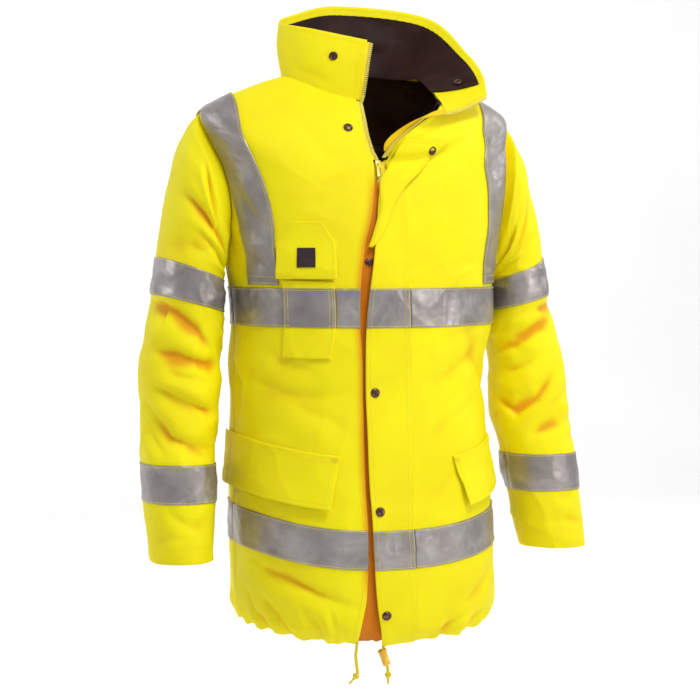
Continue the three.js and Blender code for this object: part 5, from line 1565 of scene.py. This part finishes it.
def tape_piece(name, tape, left, right, top_extra, nodes):
    """A band of tape round part of the trunk, between two edge angles."""
    s, t = trunk_grid(even(*tape, 2.3), left, right, 2.6)
    p, n = trunk(s, t)
    rim = tape_rim(s, *tape) * smooth(0, 4, (t - left(s)) * ROUND) * smooth(0, 4, (right(s) - t) * ROUND)
    rough = crumple(s, t * ROUND) * rim
    outer, inner = faces_of(p, n, top_extra + TAPE + rough, np.full(s.shape, top_extra - 0.6))
    cloth_piece(name, outer, inner, np.stack([t * ROUND, -s], -1), TAPE_CLOTH, nodes)
    for edge in (tape[0] + 2.2, tape[1] - 2.2):
        t_line = np.linspace(float(left(np.array(edge))), float(right(np.array(edge))), 200)
        sew_trunk(edge, t_line, top_extra + TAPE + 0.12)


SHOULDER_TAPES = {
    "front_right": (-1, [
        (351, 50.3), (311, 49.8), (272, 49.5), (232, 49.4), (192, 50.5), (160, 52), (137, 54), (112, 60),
        (90, 73), (76, 89.7),
    ], [
        (351, 70), (311, 69.4), (272, 70.5), (232, 73), (196, 74.6), (165, 78.2), (145, 82), (131, 85.5),
        (124, 87.5), (119, 89.7),
    ]),
    "front_left": (1, [
        (351, 49.6), (311, 48.6), (272, 47.2), (232, 45.6), (192, 44.4), (160, 43.8), (137, 45), (112, 50),
        (90, 65), (76, 89.7),
    ], [
        (351, 69.5), (311, 68.6), (272, 67.6), (232, 67), (196, 67), (165, 68.5), (145, 72), (131, 78),
        (124, 84), (119, 89.7),
    ]),
}
BACK_TAPE = ([
    (351, 130), (311, 132), (272, 134), (232, 136), (192, 135), (160, 130), (137, 122), (112, 110), (90, 99),
    (76, 90.3),
], [
    (351, 111), (311, 114), (272, 117), (232, 119), (196, 118), (165, 112), (145, 104), (131, 97), (124, 93),
    (119, 90.3),
])
SHOULDER_TAPES["back_right"] = (-1, *BACK_TAPE)
SHOULDER_TAPES["back_left"] = (1, *BACK_TAPE)


def make_shoulder_tape(name, side, inner_edge, outer_edge):
    a, b = (through([(i, *row) for i, row in enumerate(edge)]) for edge in (inner_edge, outer_edge))
    last = len(inner_edge) - 1
    v, u = np.meshgrid(even(0.005, 1, 0.0088, 0.004), even(0, 1, 0.045, 0.02), indexing="ij")
    v, w = v[::-1], (1 - u if name == "back_left" else u)

    def place(v, w):
        s = mix(a(v * last, 1), b(v * last, 1), w)
        t = side * mix(a(v * last, 2), b(v * last, 2), w)
        return s, t

    s, t = place(v, w)
    if (t[5, -1] - t[5, 0]) < 0:
        s, t, w = s[:, ::-1], t[:, ::-1], w[:, ::-1]
    p, n = trunk(s, t)
    rim = smooth(0, 0.09, w) * smooth(0, 0.09, 1 - w) * smooth(0, 0.02, v) * smooth(0, 0.02, 1 - v)
    rough = crumple(v * 270 + 40 * side, w * 50 + 90) * rim
    lift = 0.7 + 0.8
    outer, inner = faces_of(p, n, lift + TAPE + rough, np.full(s.shape, 0.1))
    uv = np.stack([w * 50, v * 270], -1)
    cloth_piece(f"shoulder_tape_{name}", outer, inner, uv, TAPE_CLOTH,
                (f"tape_shoulder_{name}",))
    for across in (0.045, 0.955):
        vs = np.linspace(0.01, 0.99, 160)
        s, t = place(vs, np.full_like(vs, across))
        sew_trunk(s, t, lift + TAPE + 0.12)
    for foot in (0.012, 0.035):
        ws = np.linspace(0.02, 0.98, 40)
        s, t = place(np.full_like(ws, foot), ws)
        sew_trunk(s, t, lift + TAPE + 0.14)


def make_tapes():
    def right_from(s):
        return angle_at(s, right_edge(s) - 0.5)

    def flap_side(s):
        return angle_at(s, flap_seam(-ring(s, 2)) + 1.2)

    side = 89.88
    inner, outer = POCKET_ANGLES
    tape_piece("chest_tape_right_inner", CHEST_TAPE, lambda s: inner + 0.3 + 0 * s, right_from, 0.7,
               ("tape_chest_right_inner",))
    tape_piece("chest_tape_right_outer", CHEST_TAPE, lambda s: -side + 0 * s, lambda s: outer - 0.3 + 0 * s,
               0.7,
               ("tape_chest_right_outer",))
    tape_piece("hem_tape_right", HEM_TAPE, lambda s: -side + 0 * s, right_from, 0.7, ("tape_hem_right",))
    for name, tape in (("chest", CHEST_TAPE), ("hem", HEM_TAPE)):
        tape_piece(f"{name}_tape_left", tape, flap_side, lambda s: side + 0 * s, 0.7, (f"tape_{name}_left",))
        tape_piece(f"{name}_tape_back", tape, side_back, lambda s: 360 - side_back(s), 0.7,
                   (f"tape_{name}_back",))
    for name, (side_sign, inner_edge, outer_edge) in SHOULDER_TAPES.items():
        make_shoulder_tape(name, side_sign, inner_edge, outer_edge)


# Pockets

POCKET_FLAPS = {
    "right": (-1, (551, 542), (616, 612), (18.8, 24), 100),
    "left": (1, (557, 548), (620, 616), (27.2, 33.5), 88.5),
}
POCKET_LIFT = 1.1


def make_pocket_flap(name, side, top, low, inner, outer):
    def place(down, u, relief=True):
        s = mix(mix(top[0], top[1], u), mix(low[0], low[1], u), down)
        t = side * mix(mix(inner[0], inner[1], down), outer, u)
        p, n = trunk(s, t, relief)
        wave = NOISE[4](u * 7 + side, down * 0 + 4) * 1.2 * down if relief else 0 * u
        lift = 0.7 + 6 * down ** 1.3 + 2 * smooth(0.7, 1, u) + wave
        return p + n * lift[..., None], n

    down, u = np.meshgrid(even(0, 1, 0.05, 0.015), even(0, 1, 0.0125, 0.004), indexing="ij")
    if side < 0:
        u = u[:, ::-1]
    p, n = place(down, u)
    outer_face, inner_face = faces_of(p, n, np.full(u.shape, DOUBLE), 0.0)
    uv = np.stack([side * u * 215, -down * 65], -1)
    cloth_piece(f"pocket_flap_panel_{name}", outer_face, inner_face, uv, SHELL_CLOTH,
                (f"pocket_flap_{name}",))
    for row in (0.05, 0.13):
        us = np.linspace(0.01, 0.99, 160)
        p, n = place(np.full_like(us, row), us)
        sew(p + n * (DOUBLE + 0.15), n)
    us = np.linspace(0.02, 0.99, 160)
    p, n = place(np.full_like(us, 0.9), us)
    sew(p + n * (DOUBLE + 0.15), n)
    downs = np.linspace(0.05, 0.9, 40)
    p, n = place(downs, np.full_like(downs, 0.035))
    sew(p + n * (DOUBLE + 0.15), n)
    for k in range(5):
        us = np.linspace(0.008, 0.045, 10)
        p, n = place(np.full_like(us, 0.05 + 0.018 * k), us)
        sew(p + n * (DOUBLE + 0.3), n, pitch=1.6)


POCKET_LID = dict(x_mid=-106, half=33.5, half_top=17, z_top=-195.5, z_corner=-224, z_low=-269)


def lid_place(z, u, relief=True):
    k = POCKET_LID
    wide = np.where(z > k["z_corner"], mix(k["half"], k["half_top"],
                                           (z - k["z_corner"]) / (k["z_top"] - k["z_corner"])), k["half"])
    s, t = place_at(k["x_mid"] + wide * (2 * u - 1), z)
    p, n = trunk(s, t, relief)
    return p + n * (0.7 + 4.5 * smooth(-215, -262, z))[..., None], n


def make_chest_pocket():
    outer, inner = POCKET_ANGLES[1], POCKET_ANGLES[0]
    s, t = np.meshgrid(even(341, 441, 2.8), even(outer, inner, 1.0, 0.35), indexing="ij")
    p, n = trunk(s, t)
    swell = 1.2 * smooth(345, 400, s) * (1 - ((t - (outer + inner) / 2) / 12) ** 2).clip(0, 1)
    p = p + n * (POCKET_LIFT + swell)[..., None]
    uv = np.stack([t * ROUND, -s], -1)
    a, b = faces_of(p, n, np.full(s.shape, DOUBLE), -0.4 * np.ones(s.shape))
    cloth_piece("chest_pocket_front", a, b, uv, SHELL_CLOTH, ("chest_pocket",))
    s, t = np.meshgrid(even(*CHEST_TAPE, 2.2), even(outer, inner, 0.8, 0.35), indexing="ij")
    p, n = trunk(s, t)
    swell = 1.2 * smooth(345, 400, s) * (1 - ((t - (outer + inner) / 2) / 12) ** 2).clip(0, 1)
    rim = tape_rim(s, *CHEST_TAPE) * smooth(0, 2, t - outer) * smooth(0, 2, inner - t)
    top = POCKET_LIFT + swell + DOUBLE + 0.3 + TAPE + crumple(s + 60, t * ROUND) * rim * 0.7
    a, b = faces_of(p, n, top, POCKET_LIFT + swell + DOUBLE + 0.1)
    cloth_piece("chest_pocket_tape", a, b, np.stack([t * ROUND, -s], -1), TAPE_CLOTH,
                ("tape_chest_pocket",))
    on_tape = POCKET_LIFT + DOUBLE + 0.3 + TAPE + 0.3
    for angle in (inner - 1.1, outer + 1.1, inner - 2.6, outer + 2.6):
        sew_trunk(np.linspace(352, 404, 60), angle, on_tape)
        sew_trunk(np.linspace(404, 439, 40), angle, POCKET_LIFT + DOUBLE + 0.2)
    for s_line in (355.5, 400.5):
        sew_trunk(s_line, np.linspace(outer, inner, 60), on_tape + 0.1)
    for s_line in (438.5, 434.5):
        sew_trunk(s_line, np.linspace(outer + 1, inner - 1, 60), POCKET_LIFT + DOUBLE + 0.2)
    k = POCKET_LID
    z, u = np.meshgrid(even(k["z_top"], k["z_low"], 2.4), even(0, 1, 0.04, 0.014), indexing="ij")
    p, n = lid_place(z, u)
    a, b = faces_of(p, n, np.full(z.shape, DOUBLE), 0.0)
    cloth_piece("chest_pocket_lid", a, b, np.stack([u * 67, z], -1), SHELL_CLOTH,
                ("chest_pocket_flap",))
    rim = [(k["z_top"] - 3, 0.08), (k["z_corner"], 0.06), (k["z_low"] + 3.5, 0.05), (k["z_low"] + 3.5, 0.95),
           (k["z_corner"], 0.94), (k["z_top"] - 3, 0.92), (k["z_top"] - 3, 0.08)]
    line = np.concatenate([np.linspace(a, b, 40) for a, b in zip(rim, rim[1:])])
    p, n = lid_place(line[:, 0], line[:, 1])
    sew(p + n * (DOUBLE + 0.15), n)
    # The bare patch, with its worked edge
    def patch_place(v, u):
        z = -242 - v * 12.4
        s, t = place_at(-107 + u * 10.2, z)
        p, n = trunk(s, t)
        return p + n * (0.7 + DOUBLE + 0.1 + 4.5 * smooth(-215, -262, z))[..., None], n

    v, u = np.meshgrid(even(-1, 1, 0.1, 0.04), even(-1, 1, 0.1, 0.04), indexing="ij")
    p, n = patch_place(v, u)
    worked = 0.45 * (smooth(0.86, 0.93, np.maximum(np.abs(u), np.abs(v))))
    a, b = faces_of(p, n, 0.8 + worked, 0.0 * v)
    cloth_piece("bare_patch", a, b, np.stack([u * 10.2, -v * 12.4], -1), PATCH, ("badge",))


def make_studs():
    for name, z in (("upper", -414), ("middle", -565), ("lower", -698)):
        p, n = on_flap(np.array(float(z)), np.array(0.19))
        stud(f"stud_cap_{name}", CAP_STEPS, 6.2, p, n, DOUBLE, (f"press_stud_flap_{name}",))
    p, n = trunk(np.array(58.6), np.array(-15.3))
    stud("stud_cap_right_front", CAP_STEPS, 6.2, p, n, 0.1, ("press_stud_right_top",))
    p, n = trunk(np.array(298.0), np.array(-9.5))
    stud("stud_cap_guard", FLAT_STEPS, 5.3, p, n, GUARD_DEEP + 0.2, ("press_stud_guard",))
    p, n = collar(np.array(29.5), np.array(0.6))
    stud("stud_socket_collar", SOCKET_STEPS, 6.0, p, n, 0.1, ("press_stud_collar",))
    p, n = turned_back(np.array(6.0), np.array(0.75))
    a, _ = turned_back(np.array(6.0), np.array([0.5, 1.0]), relief=False)
    b, _ = turned_back(np.array([5.0, 7.0]), np.array(0.75), relief=False)
    n = np.cross(b[0] - b[1], a[1] - a[0])
    n /= np.linalg.norm(n)
    stud("stud_socket_turned", SOCKET_STEPS, 6.0, p, n, DOUBLE + 0.1, ("press_stud_turned_back",))
    p, n = collar(np.array(309.0), np.array(0.5))
    stud("stud_socket_lining", SOCKET_STEPS, 6.0, p, -n, DOUBLE + LINING + 1.3, ("press_stud_lining",))


TOOTH = model_tooth()
STITCH = model_stitch()
make_cords()
make_panels()
make_sleeve(-1, "right")
make_sleeve(1, "left")
make_collar()
make_linings()
make_zip()
make_slider()
make_flap()
make_tapes()
for flap_name, flap_sizes in POCKET_FLAPS.items():
    make_pocket_flap(flap_name, *flap_sizes)
make_chest_pocket()
make_studs()
parts = [np.concatenate(column) for column in zip(*STITCHES)]
copies("stitching", STITCH, *parts, THREAD, "shell")


# Studio: a pale floor that sweeps up behind, and soft lamps in front

def make_studio():
    floor = begin("plane", size=1)
    bpy.ops.transform.resize(value=(9, 7, 1))
    bpy.ops.transform.translate(value=(0, 0.4, -1.1))
    bpy.ops.object.transform_apply(location=True, rotation=False, scale=True)
    pick(floor, lambda m, d: m.y > 3 and abs(d.x) > 0.9, kind="EDGE")
    for k in range(1, 9):
        turn = k * math.pi / 16
        step = 1.4 * math.pi / 16
        value = (0, step * math.cos(turn), step * math.sin(turn))
        bpy.ops.mesh.extrude_region_move(TRANSFORM_OT_translate={"value": value})
    bpy.ops.mesh.extrude_region_move(TRANSFORM_OT_translate={"value": (0, 0, 4.5)})
    bpy.ops.object.mode_set(mode="OBJECT")
    bpy.ops.object.shade_smooth()
    floor.name = "studio_floor"
    paint = new_finish("matt_white_paint", "FFFFFF", 0.9, specular=0.2)
    place = add_node(paint, "TexCoord", out="Object")
    cloud = add_node(paint, "TexNoise", {"Vector": place, "Scale": 2})
    add_node(paint, "ValToRGB", {"Fac": cloud}, [(0.3, "FCFCFC"), (0.7, "FFFFFF")], feeds="Base Color")
    floor.data.materials.clear()
    floor.data.materials.append(paint)
    world = bpy.data.worlds.new("studio_air")
    world.use_nodes = True
    world.node_tree.nodes["Background"].inputs["Color"].default_value = (1, 1, 1, 1)
    world.node_tree.nodes["Background"].inputs["Strength"].default_value = 0.42
    bpy.context.scene.world = world
    lamps = [
        ("key", (0.5, -1.7, 2.0), (0, 0, -0.35), 0.9, 46),
        ("fill", (2.4, -2.2, 0.2), (0, 0, -0.4), 1.6, 22),
        ("backdrop_left", (-2.6, 1.2, 1.2), (-0.6, 3.6, 0.2), 2.2, 60),
        ("backdrop_right", (2.6, 1.2, 1.2), (1.2, 3.6, 0.2), 2.2, 60),
    ]
    for name, place, aim, size, power in lamps:
        data = bpy.data.lights.new(name, "AREA")
        data.shape = "SQUARE"
        data.size = size
        data.energy = power
        lamp = bpy.data.objects.new(name, data)
        bpy.context.collection.objects.link(lamp)
        lamp.location = place
        lamp.rotation_euler = (Vector(aim) - Vector(place)).to_track_quat("-Z", "Y").to_euler()
    bpy.context.scene.view_settings.view_transform = "Standard"


make_studio()
